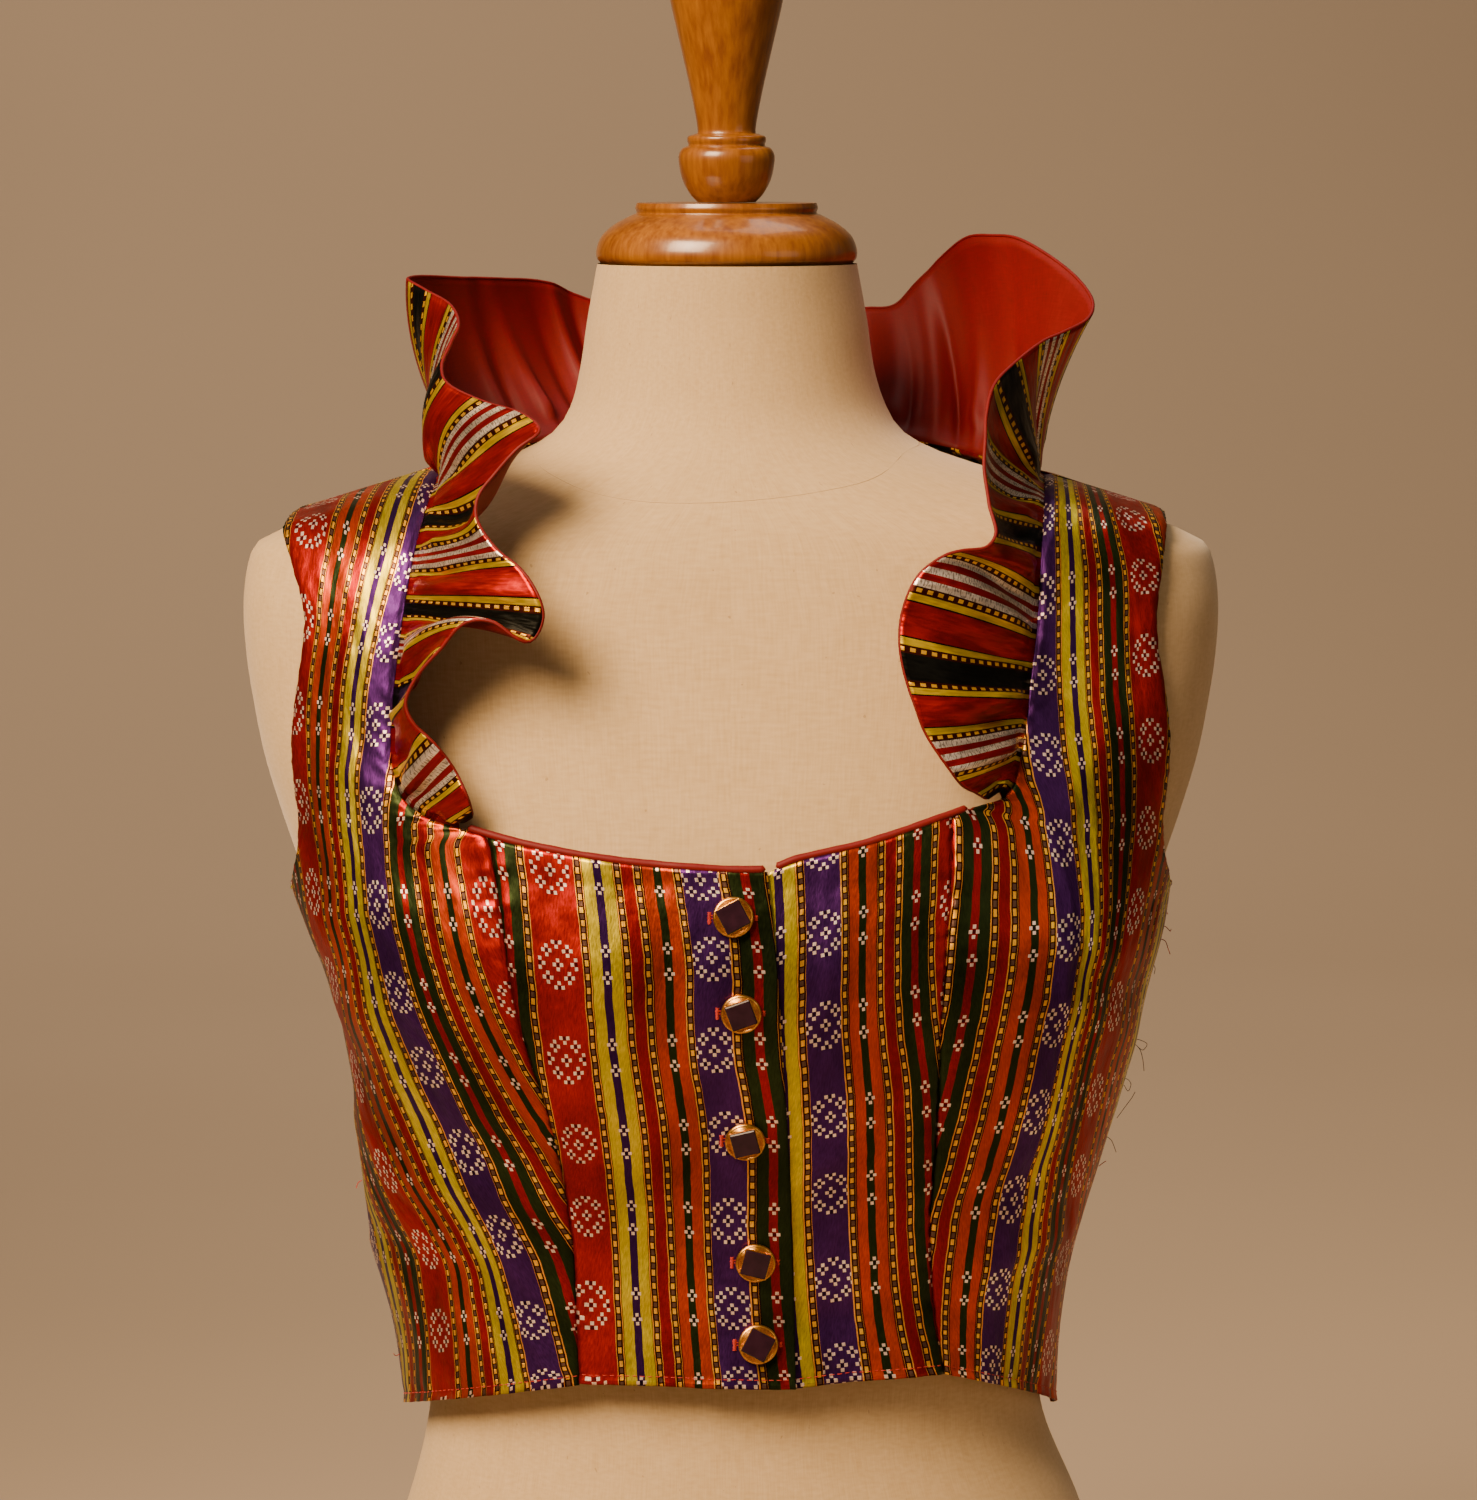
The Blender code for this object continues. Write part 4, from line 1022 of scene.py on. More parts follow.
@dataclass(frozen=True)
class RibbonSatin:
    """Striped ribbon satin of the ruffle, with the same guards and a crisp, glossy face."""

    name: str = "striped_ribbon_satin"
    colours: tuple[str, ...] = ("12120e", "3a1208", "d8b818", "0c0a08", "9c120a", "dccfc2", "8c0e0a")
    gold: str = "f0b62c"

    def stripe_stops(self) -> list[tuple[float, tuple[float, float, float, float]]]:
        """Stops that carry stripe number and middle across the repeat."""
        stops = []
        edge = 0
        for stripe, width in RIBBON_REPEAT:
            middle = (edge + width / 2.0) / RAMP_STEPS
            place = max(0.0, (edge - RAMP_EARLY) / RAMP_STEPS)
            stops.append((place, (stripe.value / STRIPE_CODES, middle, 0.0, 1.0)))
            edge += width
        return stops

    def build(self) -> bpy.types.Material:
        """Make the material, which reads the ruffle's own UV map."""
        recipe = Recipe(self.name)
        recipe.read_cloth()
        recipe.split("uv", "XYZ", "metres", "metres_y")
        recipe.noises(
            ("warp", "uv", (1100.0, 90.0, 1.0), 2.0),
            ("patch", "uv", (150.0, 60.0, 1.0), 2.0),
            ("hatch", "uv", (420.0, 1500.0, 1.0), 1.0),
        )
        recipe.follow((
            ("u", "MULTIPLY", "metres", 1000.0 / RIBBON_WIDTH),
            # half a black stripe back, so that whole repeats start in the middle of the black
            ("u_up", "ADD", "u", 4.0 + 17.5 / RAMP_STEPS),
            ("share", "FRACT", "u_up"),
            ("v", "MULTIPLY", "metres_y", 1000.0),
        ))
        recipe.ramp("stripe", "share", self.stripe_stops())
        recipe.split("stripe", "Color", "code", "middle")
        recipe.follow((
            ("role", "MULTIPLY", "code", STRIPE_CODES),
            ("x_share", "SUBTRACT", "share", "middle"),
            ("x_mm", "MULTIPLY", "x_share", RIBBON_WIDTH),
            ("ax", "ABSOLUTE", "x_mm"),
        ))
        recipe.palette("role", self.colours)
        recipe.follow((
            ("role_guard", "COMPARE", "role", 1.0, 0.3),
            ("role_white", "COMPARE", "role", 5.0, 0.3),
            ("beat", "MULTIPLY_ADD", "v", 1.0 / 4.6, 40.0),
            ("beat_share", "FRACT", "beat"),
            ("gold_run", "LESS_THAN", "beat_share", 0.5),
            ("inner", "LESS_THAN", "ax", 0.8),
            ("gold_in", "MULTIPLY", "gold_run", "inner"),
            ("gold_at", "MULTIPLY", "gold_in", "role_guard"),
            ("hatch_dark", "GREATER_THAN", "hatch", 0.56),
            ("hatch_at", "MULTIPLY", "hatch_dark", "role_white"),
            ("hatch_soft", "MULTIPLY", "hatch_at", 0.75),
            ("with_hatch", "Mix:MIX", "hatch_soft", "ground", hex_colour("6d6258")),
            ("with_gold", "Mix:MIX", "gold_at", "with_hatch", hex_colour(self.gold)),
            ("streak", "MULTIPLY_ADD", "warp", 0.8, 0.6),
            ("blotch", "MULTIPLY_ADD", "patch", 1.5, 0.25),
            ("tone", "MULTIPLY", "streak", "blotch"),
            ("tone_colour", "CombineXYZ", "tone", "tone", "tone"),
            ("shaded", "Mix:MULTIPLY", 1.0, "with_gold", "tone_colour"),
            ("gloss", "MULTIPLY_ADD", "warp", 0.2, 0.28),
            ("fine_height", "MULTIPLY_ADD", "warp", 0.8, "gold_at"),
            ("height", "MULTIPLY_ADD", "patch", 16.0, "fine_height"),
        ))
        return recipe.finish("shaded", "gloss", "height", (0.4, 0.00018), Metallic=0.82,
                             Specular_IOR_Level=0.25, IOR=1.5)


@dataclass(frozen=True)
class PlainWeave:
    """Plain cloth in one colour, with fine crossing threads and slight changes of tone."""

    name: str
    colour: str
    shade: str
    across: float = 1500.0
    lengthwise: float = 1500.0
    roughness: float = 0.55
    sheen: float = 0.2
    bump: float = 0.3
    specks: str = ""

    def build(self) -> bpy.types.Material:
        """Make the material, which reads the piece's own UV map."""
        recipe = Recipe(self.name)
        recipe.read_cloth()
        recipe.noises(
            ("thread", "uv", (self.across, self.lengthwise * 0.12, 1.0), 1.0),
            ("weft", "uv", (self.across * 0.12, self.lengthwise, 1.0), 1.0),
            ("patch", "uv", (70.0, 50.0, 1.0), 3.0),
            ("speck", "uv", (260.0, 200.0, 1.0), 2.0, 0.6),
        )
        recipe.follow((
            ("both", "ADD", "thread", "weft"),
            ("mixed", "MULTIPLY_ADD", "both", 0.9, -0.4),
            ("patched", "MULTIPLY_ADD", "patch", 0.5, "mixed"),
            ("fac", "MULTIPLY_ADD", "patched", 0.8, -0.12),
        ))
        recipe.follow((("tone", "Mix:MIX", "fac", hex_colour(self.shade), hex_colour(self.colour)),))
        colour = "tone"
        if self.specks:
            recipe.follow((
                ("speck_at", "GREATER_THAN", "speck", 0.73),
                ("speck_soft", "MULTIPLY", "speck_at", 0.45),
                ("speckled", "Mix:MIX", "speck_soft", "tone", hex_colour(self.specks)),
            ))
            colour = "speckled"
        return recipe.finish(colour, self.roughness, "both", (self.bump, 0.00015), Sheen_Weight=self.sheen,
                             Sheen_Roughness=0.5, Specular_IOR_Level=0.3, IOR=1.5)


@dataclass(frozen=True)
class VarnishedWood:
    """Turned hardwood under a honey varnish: upright grain streaks and small darker pores."""

    name: str = "varnished_wood"
    light: str = "98600e"
    dark: str = "643206"

    def build(self) -> bpy.types.Material:
        """Make the material on object coordinates."""
        recipe = Recipe(self.name)
        recipe.read_place()
        recipe.noises(
            ("grain", "place", (420.0, 420.0, 9.0), 4.0, 0.6),
            ("cloud", "place", (45.0, 45.0, 12.0), 2.0),
        )
        recipe.follow((
            ("both", "MULTIPLY_ADD", "cloud", 0.8, "grain"),
            ("fac", "MULTIPLY_ADD", "both", 1.6, -0.95),
            ("tone", "Mix:MIX", "fac", hex_colour(self.dark), hex_colour(self.light)),
            ("gloss", "MULTIPLY_ADD", "grain", 0.25, 0.22),
        ))
        return recipe.finish("tone", "gloss", "grain", (0.15, 0.0002), Coat_Weight=0.5, Coat_Roughness=0.12,
                             IOR=1.5)


@dataclass(frozen=True)
class GiltMetal:
    """Stamped and gilded button metal, worn a little darker in small random patches."""

    name: str = "gilt_metal"
    colour: str = "e3ab55"
    worn: str = "8f5a22"

    def build(self) -> bpy.types.Material:
        """Make the material on object coordinates."""
        recipe = Recipe(self.name)
        recipe.read_place()
        recipe.noise("wear", "place", 900.0, 3.0)
        recipe.follow((
            ("fac", "MULTIPLY_ADD", "wear", 2.2, -0.9),
            ("tone", "Mix:MIX", "fac", hex_colour(self.colour), hex_colour(self.worn)),
            ("gloss", "MULTIPLY_ADD", "wear", 0.3, 0.16),
        ))
        return recipe.finish("tone", "gloss", "wear", (0.15, 0.0001), Metallic=1.0)


@dataclass(frozen=True)
class DarkStone:
    """Flat cut stone or glass, dark aubergine with a smooth polish."""

    name: str = "dark_stone"
    light: str = "321a28"
    dark: str = "160a12"

    def build(self) -> bpy.types.Material:
        """Make the material on object coordinates."""
        recipe = Recipe(self.name)
        recipe.read_place()
        recipe.noise("cloud", "place", 220.0, 2.0)
        recipe.follow((("tone", "Mix:MIX", "cloud", hex_colour(self.dark), hex_colour(self.light)),))
        return recipe.finish("tone", 0.2, None, Specular_IOR_Level=0.25, IOR=1.5)


def deselect() -> None:
    """Leave edit mode and deselect everything."""
    if bpy.context.object and bpy.context.object.mode == "EDIT":
        bpy.ops.object.mode_set(mode="OBJECT")
    bpy.ops.object.select_all(action="DESELECT")


def take(piece: bpy.types.Object) -> None:
    """Select one piece alone and make it active."""
    deselect()
    piece.select_set(True)
    bpy.context.view_layer.objects.active = piece


def settle(piece: bpy.types.Object, node: str = "") -> None:
    """Give a piece its solid to replace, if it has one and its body."""
    if node:
        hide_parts(node)
    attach(piece, "root")
    LOG.info("%s: %d faces", piece.name, len(piece.data.polygons))


def sheet_mesh(name: str, grid: np.ndarray, cloth_u: np.ndarray, cloth_v: np.ndarray,
               material: bpy.types.Material, thickness: float, outward: bool = True,
               closed: bool = False) -> bpy.types.Object:
    """Thin cloth made from a grid of points.

    Args:
        name: Name of the piece.
        grid: Outer face in millimetres, rows by columns.
        cloth_u: Place across the cut cloth in millimetres, for each point.
        cloth_v: Place along the cut cloth in millimetres, for each point.
        material: Finish of the cloth.
        thickness: Thickness of the cloth, which grows inwards, in millimetres.
        outward: Whether rows crossed with columns point out of the piece.
        closed: Whether the last column joins the first.

    Returns:
        The piece, with its thickness applied.
    """
    rows, columns = grid.shape[:2]
    points = grid.reshape(-1, 3).copy()
    points[:, 1] += ORIGIN_SHIFT_Y
    index = np.arange(rows * columns).reshape(rows, columns)
    if closed:
        index = np.concatenate([index, index[:, :1]], axis=1)
    quads = np.stack([index[:-1, :-1], index[:-1, 1:], index[1:, 1:], index[1:, :-1]], axis=-1).reshape(-1, 4)
    if not outward:
        quads = quads[:, ::-1]
    mesh = bpy.data.meshes.new(name)
    mesh.from_pydata((points * MM).tolist(), [], quads.tolist())
    layer = mesh.uv_layers.new(name="cloth")
    corner = np.empty(len(mesh.loops), dtype=np.int32)
    mesh.loops.foreach_get("vertex_index", corner)
    flat = np.stack([cloth_u.reshape(-1), cloth_v.reshape(-1)], axis=1) * MM
    if closed:
        width = float(cloth_u[0, -1] + (cloth_u[0, -1] - cloth_u[0, -2])) * MM
        values = flat[corner]
        quad_of = np.arange(len(corner)) // 4
        wraps = quad_of % (index.shape[1] - 1) == index.shape[1] - 2
        values[wraps & (values[:, 0] < width * 0.5), 0] += width
    else:
        values = flat[corner]
    layer.data.foreach_set("uv", values.astype(np.float32).ravel())
    mesh.materials.append(material)
    mesh.shade_smooth()
    piece = bpy.data.objects.new(name, mesh)
    bpy.context.scene.collection.objects.link(piece)
    if thickness > 0.0:
        take(piece)
        wall = piece.modifiers.new("thickness", "SOLIDIFY")
        wall.thickness = thickness * MM
        wall.offset = -1.0
        wall.use_even_offset = False
        bpy.ops.object.modifier_apply(modifier=wall.name)
    return piece


def turned(name: str, profile: Sequence[tuple[float, float]], centre_x: float, centre_y: float,
           segments: int, material: bpy.types.Material) -> bpy.types.Object:
    """Turned solid, drawn up ring by ring from a disc.

    Args:
        name: Name of the piece.
        profile: Radius and height from the bottom up, in millimetres.
        centre_x: Place of the axis.
        centre_y: Place of the axis, with the shift of the origin.
        segments: Number of faces round the axis.
        material: Finish of the piece.

    Returns:
        The piece, at the origin and with its place in its mesh.
    """
    deselect()
    radius, height = profile[0]
    centre = Vector((centre_x, centre_y, height)) * MM
    bpy.ops.mesh.primitive_circle_add(vertices=segments, radius=radius * MM, fill_type="NGON",
                                      location=centre)
    piece = bpy.context.object
    piece.name = name
    bpy.ops.object.mode_set(mode="EDIT")
    for (r0, z0), (r1, z1) in zip(profile, profile[1:]):
        bpy.ops.mesh.extrude_region_move(TRANSFORM_OT_translate={"value": (0.0, 0.0, (z1 - z0) * MM)})
        scale = r1 / r0
        centre = Vector((centre_x, centre_y, z1)) * MM
        bpy.ops.transform.resize(value=(scale, scale, 1.0), center_override=centre)
    bpy.ops.mesh.select_all(action="SELECT")
    bpy.ops.mesh.normals_make_consistent(inside=False)
    bpy.ops.object.mode_set(mode="OBJECT")
    bpy.ops.object.transform_apply(location=True, rotation=True, scale=True)
    piece.data.materials.append(material)
    bpy.ops.object.shade_smooth_by_angle(angle=math.radians(38.0))
    return piece


def fine_profile(profile: Sequence[tuple[float, float]], factor: int) -> list[tuple[float, float]]:
    """Profile with a smooth curve through its points."""
    return [tuple(map(float, point)) for point in refine(np.array(profile, dtype=float), factor)]


def thread(name: str, lines: Sequence[Sequence[Vector]], radius: float,
           material: bpy.types.Material) -> bpy.types.Object:
    """Threads drawn as round cords, joined in one mesh.

    Args:
        name: Name of the piece.
        lines: Points of each thread in millimetres, without the shift of the origin.
        radius: Half thickness in millimetres.
        material: Finish of the thread.

    Returns:
        The piece as a mesh.
    """
    curve = bpy.data.curves.new(name, "CURVE")
    curve.dimensions = "3D"
    curve.bevel_depth = radius * MM
    curve.bevel_resolution = 1
    curve.use_fill_caps = True
    for line in lines:
        spline = curve.splines.new("POLY")
        spline.points.add(len(line) - 1)
        for point, place in zip(spline.points, line):
            point.co = (place[0] * MM, (place[1] + ORIGIN_SHIFT_Y) * MM, place[2] * MM, 1.0)
    piece = bpy.data.objects.new(name, curve)
    bpy.context.scene.collection.objects.link(piece)
    take(piece)
    bpy.ops.object.convert(target="MESH")
    piece = bpy.context.object
    piece.data.materials.clear()
    piece.data.materials.append(material)
    piece.data.shade_smooth()
    if not piece.data.uv_layers:
        piece.data.uv_layers.new(name="cloth")
    else:
        piece.data.uv_layers[0].name = "cloth"
    return piece


def soft_line(points: Sequence[Sequence[float]], steps: int = 8) -> list[Vector]:
    """Smooth line of vectors through a few points."""
    return [Vector(point) for point in refine(np.array(points, dtype=float), steps)]


def wander(place: float, seed: float) -> float:
    """Smooth uneven value between about -1 and 1 that never repeats along a seam."""
    return (math.sin(place * 1.0 + seed) + math.sin(place * 2.3 + seed * 1.7) * 0.6
            + math.sin(place * 0.37 + seed * 2.9) * 0.8) / 2.0


@dataclass(frozen=True)
class Crease:
    """Soft fold on the vest between two places, each a turn round the body in degrees and a height."""

    turn_a: float
    height_a: float
    turn_b: float
    height_b: float
    depth: float
    width: float


@dataclass(frozen=True)
class Guide:
    """Line of rosette middles on a panel: its place across the cloth, and x, height and number of each.

    A guide with a reach only holds between those heights, and gives way softly outside them.
    """

    across: float
    places: tuple[tuple[float, float, float], ...]
    reach: tuple[float, float] | None = None


CREASES = tuple(Crease(*row) for row in (
    # front, under the bust and at the waist
    (-34, 392, -12, 372, 1.3, 9), (-58, 372, -36, 352, -1.6, 10), (-64, 340, -30, 330, 1.4, 9),
    (-80, 318, -48, 306, -1.4, 8), (12, 348, 34, 366, 1.2, 8), (36, 330, 62, 350, -1.5, 9),
    (48, 306, 78, 318, 1.5, 8), (-22, 300, -4, 318, 0.9, 8), (16, 290, 34, 306, -1.0, 9),
    # drag lines at the bust point and armhole on the wearer's left
    (38, 462, 56, 440, -0.8, 7), (42, 448, 62, 428, 0.9, 8), (50, 432, 74, 414, -0.7, 9),
    (45, 420, 66, 398, 0.8, 9), (62, 402, 82, 386, 0.7, 9),
    # the wearer's right side
    (-52, 452, -74, 434, 0.8, 9), (-58, 432, -80, 418, -0.8, 9), (-50, 412, -72, 396, 0.8, 9),
    (-84, 402, -66, 388, -0.8, 8),
    # straps
    (-60, 505, -48, 478, 1.0, 7), (-66, 540, -58, 512, -0.9, 8), (60, 520, 52, 490, 1.1, 7),
    (68, 556, 60, 528, -0.9, 8),
    # sides, where the cloth settles at the waist
    (84, 352, 112, 338, -1.6, 8), (90, 330, 120, 322, 1.6, 7), (86, 300, 108, 292, -1.3, 8),
    (-86, 356, -116, 344, 1.5, 8), (-90, 334, -122, 324, -1.6, 7), (-84, 304, -108, 296, 1.3, 8),
    # back, hanging from the shoulder blades and gathering at the waist
    (128, 330, 160, 318, 1.7, 8), (136, 312, 168, 304, -1.6, 7), (142, 352, 164, 338, -1.4, 9),
    (-128, 334, -158, 322, -1.6, 8), (-138, 314, -170, 300, 1.5, 7), (-144, 356, -168, 344, 1.3, 9),
    (150, 420, 158, 372, 1.3, 12), (-150, 428, -160, 380, -1.2, 12), (176, 296, -172, 282, 1.1, 8),
    (120, 452, 136, 424, -1.4, 9), (-118, 456, -136, 430, 1.4, 9), (166, 500, -168, 492, -1.0, 10),
))
# Millimetres of cloth to a degree round the body, and how far the middle of a fold bows
DEGREE_WIDTH = 2.4
CREASE_BOW = 2.5
# Guides: how far one runs on above its highest point, and the run over which one with a reach fades in height
END_RUN = 12.0
REACH_FADE = 28.0
# A guide with a reach only counts this far beyond the others, comes in over a run, and keeps the stripes'
# spacing between two shares of the natural one
LEAST_BEYOND = 1.0
BEYOND_RUN = (2.0, 14.0)
SPACING_LIMITS = (0.7, 1.3)
# Seams: depth and half width of the dip, then height and half width of the puckers
SEAM_DIP = (0.95, 1.7)
SEAM_PUCKER = (0.20, 7.0)
# Hem: stitch line above the edge, relief and flat part of the double cloth, runs of the dip and the ripple
HEM_STITCH = 3.7
HEM_RELIEF = 0.35
HEM_FLAT = 2.6
HEM_DIP_RUN = 0.9
RIPPLE_RUN = 9.0


def crease_relief(grid: np.ndarray) -> np.ndarray:
    """Height of the soft folds at each point of a panel, in millimetres."""
    turn = np.degrees(np.arctan2(grid[..., 0], -grid[..., 1]))
    height = grid[..., 2]
    relief = np.zeros(turn.shape)
    for crease in CREASES:
        middle = (crease.turn_a + crease.turn_b) / 2.0
        span = crease.turn_b - crease.turn_a
        if abs(span) > 180.0:
            middle, span = middle + 180.0, span + 360.0
        away = (turn - middle + 180.0) % 360.0 - 180.0
        ax, ay = -span / 2.0 * DEGREE_WIDTH, crease.height_a
        bx, by = span / 2.0 * DEGREE_WIDTH, crease.height_b
        px = away * DEGREE_WIDTH
        length2 = (bx - ax) ** 2 + (by - ay) ** 2
        t = ((px - ax) * (bx - ax) + (height - ay) * (by - ay)) / length2
        near = np.clip(t, 0.0, 1.0)
        bow = CREASE_BOW * np.sin(near * math.pi) * np.sign(crease.depth)
        dx = px - (ax + (bx - ax) * near)
        dy = height - (ay + (by - ay) * near) - bow
        fade = np.clip(np.minimum(t + 0.25, 1.25 - t) / 0.5, 0.0, 1.0)
        fade = fade * fade * (3.0 - 2.0 * fade)
        relief += crease.depth * np.exp(-(dx * dx + dy * dy) / crease.width ** 2) * fade
    return relief


def seam_relief(distance: np.ndarray, seam_place: np.ndarray, seed: float) -> np.ndarray:
    """Dip of a seam with its small uneven puckers.

    Args:
        distance: Distance of each point from the seam in millimetres.
        seam_place: Place along the seam in millimetres.
        seed: Number that sets where the puckers fall.

    Returns:
        Height to add to each point.
    """
    dip = -SEAM_DIP[0] * np.exp(-(distance / SEAM_DIP[1]) ** 2)
    swing = (np.sin(seam_place * 0.83 + seed) + 0.7 * np.sin(seam_place * 0.47 + seed * 2.1)
             + 0.5 * np.sin(seam_place * 1.31 + seed * 0.7))
    return dip + SEAM_PUCKER[0] * swing * np.exp(-(distance / SEAM_PUCKER[1]) ** 2)


@dataclass
class Panel:
    """Cut piece of the vest with its stripes laid along guide lines."""

    name: str
    node: str
    grid: np.ndarray
    guides: tuple[Guide, ...]
    direction: float
    seams: tuple[bool, bool] = (True, True)
    seed: float = 0.0
    flat: tuple[float, float] = (0.1, 0.3)
    area: float | None = None
    edges: tuple[tuple[tuple[float, float], ...], tuple[tuple[float, float], ...]] = ((), ())
    cloth: tuple[np.ndarray, np.ndarray] | None = None
    final: np.ndarray | None = None

    def guide_places(self, guide: Guide) -> tuple[np.ndarray, np.ndarray]:
        """Where a guide crosses every row of the grid.

        Args:
            guide: Rosette middles in x and height with their numbers.

        Returns:
            Column place and length along the cut cloth, for every row.
        """
        rows = sorted((height, x, number) for x, height, number in guide.places)
        low, high = rows[0], rows[-1]
        heights = np.arange(low[0], high[0], 1.0)
        line_x = np.array([along(rows, height, 1) for height in heights])
        line_v = np.array([along(rows, height, 2) for height in heights]) * ROSETTE_PITCH
        slope_low = (line_x[6] - line_x[0]) / 6.0
        slope_high = (line_x[-1] - line_x[-7]) / 6.0
        grid = self.grid
        x, z = grid[..., 0], grid[..., 2]
        target = np.interp(z, heights, line_x)
        target = target + np.minimum(0.0, z - heights[0]) * slope_low
        target = target + np.clip(z - heights[-1], 0.0, END_RUN) * slope_high
        number = np.arange(grid.shape[1], dtype=float)
        columns = np.array([np.interp(0.0, along_row, number) for along_row in x - target])
        columns = evened(columns, 9, mode="edge")
        lengths = arc_lengths(grid, 0)
        at_row = np.array([np.interp(columns[r], number, lengths[r]) for r in range(len(grid))])
        height = np.array([np.interp(columns[r], number, z[r]) for r in range(len(grid))])
        cloth = np.interp(height, heights, line_v)
        inside = np.flatnonzero((height >= heights[0]) & (height <= heights[-1]) & (grid[:, 0, 1] < 5.0))
        first, last = inside[0], inside[-1]
        cloth[:first] = cloth[first] - (at_row[first] - at_row[:first])
        cloth[last:] = cloth[last] + (at_row[last:] - at_row[last])
        return columns, cloth

    def lay_stripes(self) -> tuple[np.ndarray, np.ndarray]:
        """Place on the cut cloth of every point of the grid."""
        arcs = arc_lengths(self.grid, 1)
        number = np.arange(self.grid.shape[1], dtype=float)
        placed = [(guide, *self.guide_places(guide)) for guide in self.guides]
        cloth_u = np.zeros(arcs.shape)
        cloth_v = np.zeros(arcs.shape)
        for r in range(len(arcs)):
            spots = sorted((float(np.interp(columns[r], number, arcs[r])), guide.across, lengths[r])
                           for guide, columns, lengths in placed if guide.reach is None)
            for column, table in ((0, self.edges[0]), (-1, self.edges[1])):
                height = self.grid[r, column, 2]
                if table and height <= table[-1][0]:
                    nearest = spots[column][2]
                    across = np.interp(height, [row[0] for row in table], [row[1] for row in table])
                    spots.append((arcs[r, column], float(across), nearest))
            spots.sort()
            for guide, columns, lengths in placed:
                if guide.reach is None:
                    continue
                place = float(np.interp(columns[r], number, arcs[r]))
                height = float(np.interp(columns[r], number, self.grid[r, :, 2]))
                weight = (smoothstep(guide.reach[0] - REACH_FADE, guide.reach[0], height)
                          * (1.0 - smoothstep(guide.reach[1], guide.reach[1] + REACH_FADE, height)))
                nearest = spots[0] if place < spots[0][0] else spots[-1]
                beyond = max(spots[0][0] - place, place - spots[-1][0])
                if beyond < LEAST_BEYOND:
                    continue
                run = self.direction * (place - nearest[0])
                weight *= smoothstep(*BEYOND_RUN, beyond)
                wanted = lerp(nearest[1] + run, guide.across, weight)
                low, high = sorted(nearest[1] + run * limit for limit in SPACING_LIMITS)
                spots.append((place, min(high, max(low, wanted)), nearest[2]))
            spots.sort()
            keys = [spot[0] for spot in spots]
            line = np.interp(arcs[r], keys, [spot[1] for spot in spots])
            line = np.where(arcs[r] < keys[0], spots[0][1] + self.direction * (arcs[r] - keys[0]), line)
            line = np.where(arcs[r] > keys[-1], spots[-1][1] + self.direction * (arcs[r] - keys[-1]), line)
            cloth_u[r] = line
            cloth_v[r] = np.interp(arcs[r], keys, [spot[2] for spot in spots])
        kernel = np.array([0.25, 0.5, 0.25])
        for _ in range(6):
            padded = np.pad(cloth_u, ((1, 1), (0, 0)), mode="reflect", reflect_type="odd")
            cloth_u = padded[:-2] * kernel[0] + padded[1:-1] * kernel[1] + padded[2:] * kernel[2]
        return cloth_u, cloth_v

    def shaped(self) -> np.ndarray:
        """Grid with its folds, seam dips and turned hem."""
        grid = self.grid
        normals = grid_normals(grid)
        across = arc_lengths(grid, 1)
        upward = arc_lengths(grid, 0)
        relief = crease_relief(grid)
        if self.seams[0]:
            relief += seam_relief(across, upward, self.seed)
        if self.seams[1]:
            relief += seam_relief(across[:, -1:] - across, upward, self.seed + 1.3)
        # the turned hem is double cloth as far as its stitch line, and the stitches pull in
        relief += HEM_RELIEF * np.exp(-(upward / HEM_FLAT) ** 4)
        relief -= HEM_RELIEF * np.exp(-((upward - HEM_STITCH) / HEM_DIP_RUN) ** 2)
        ripple = 0.30 * np.sin(across * 0.62 + self.seed * 3.0) + 0.2 * np.sin(across * 0.27 + self.seed)
        relief += ripple * np.exp(-(upward / RIPPLE_RUN) ** 2)
        return grid + normals * relief[..., None]

    def build(self, material: bpy.types.Material) -> bpy.types.Object:
        """Make the panel as thin cloth and give it its place in the frame."""
        cloth_u, cloth_v = self.cloth if self.cloth is not None else self.lay_stripes()
        self.final = self.shaped()
        piece = sheet_mesh(self.name, self.final, cloth_u, cloth_v, material, CLOTH)
        settle(piece, self.node)
        return piece


SIDE_COLUMNS = 40
SIDE_ROW_STEPS = 8
CENTRE_COLUMNS = 56
CENTRE_ROWS = 120

RIGHT_SIDE_GUIDES = (
    Guide(74.0, ((-113.3, 610.2, 12), (-124.4, 579.9, 11), (-132.4, 553.7, 10), (-137, 521.9, 9),
                 (-138.8, 489.5, 8),
                 (-135.6, 453.4, 7), (-128, 419.6, 6), (-117.1, 390.8, 5), (-103.7, 355.9, 4),
                 (-88.8, 323.2, 3),
                 (-78.1, 288.7, 2), (-72.3, 263.9, 1))),
    Guide(10.25, ((-162.6, 597.3, 11), (-169.5, 540.0, 9.4), (-168.3, 500.0, 8.3), (-165.0, 474.1, 7.55),
                  (-156.0, 414.7, 5.9), (-146.5, 372.0, 4.85), (-136, 342.2, 4), (-118.7, 313.2, 3),
                  (-114.4, 280.4, 2), (-113.8, 262.0, 1.5))),
    Guide(-35.75, ((-163.6, 439.5, 6), (-160.3, 430.4, 6), (-153.8, 407.4, 6), (-150.5, 380.0, 6),
                   (-150.0, 350.0, 6),
                   (-145.0, 326.1, 6), (-138.6, 311.8, 6), (-132.7, 296.6, 6), (-130.0, 281.3, 6),
                   (-130.2, 262.0, 6), (-130.2, 243.9, 6)), (236.0, 318.0)),
)
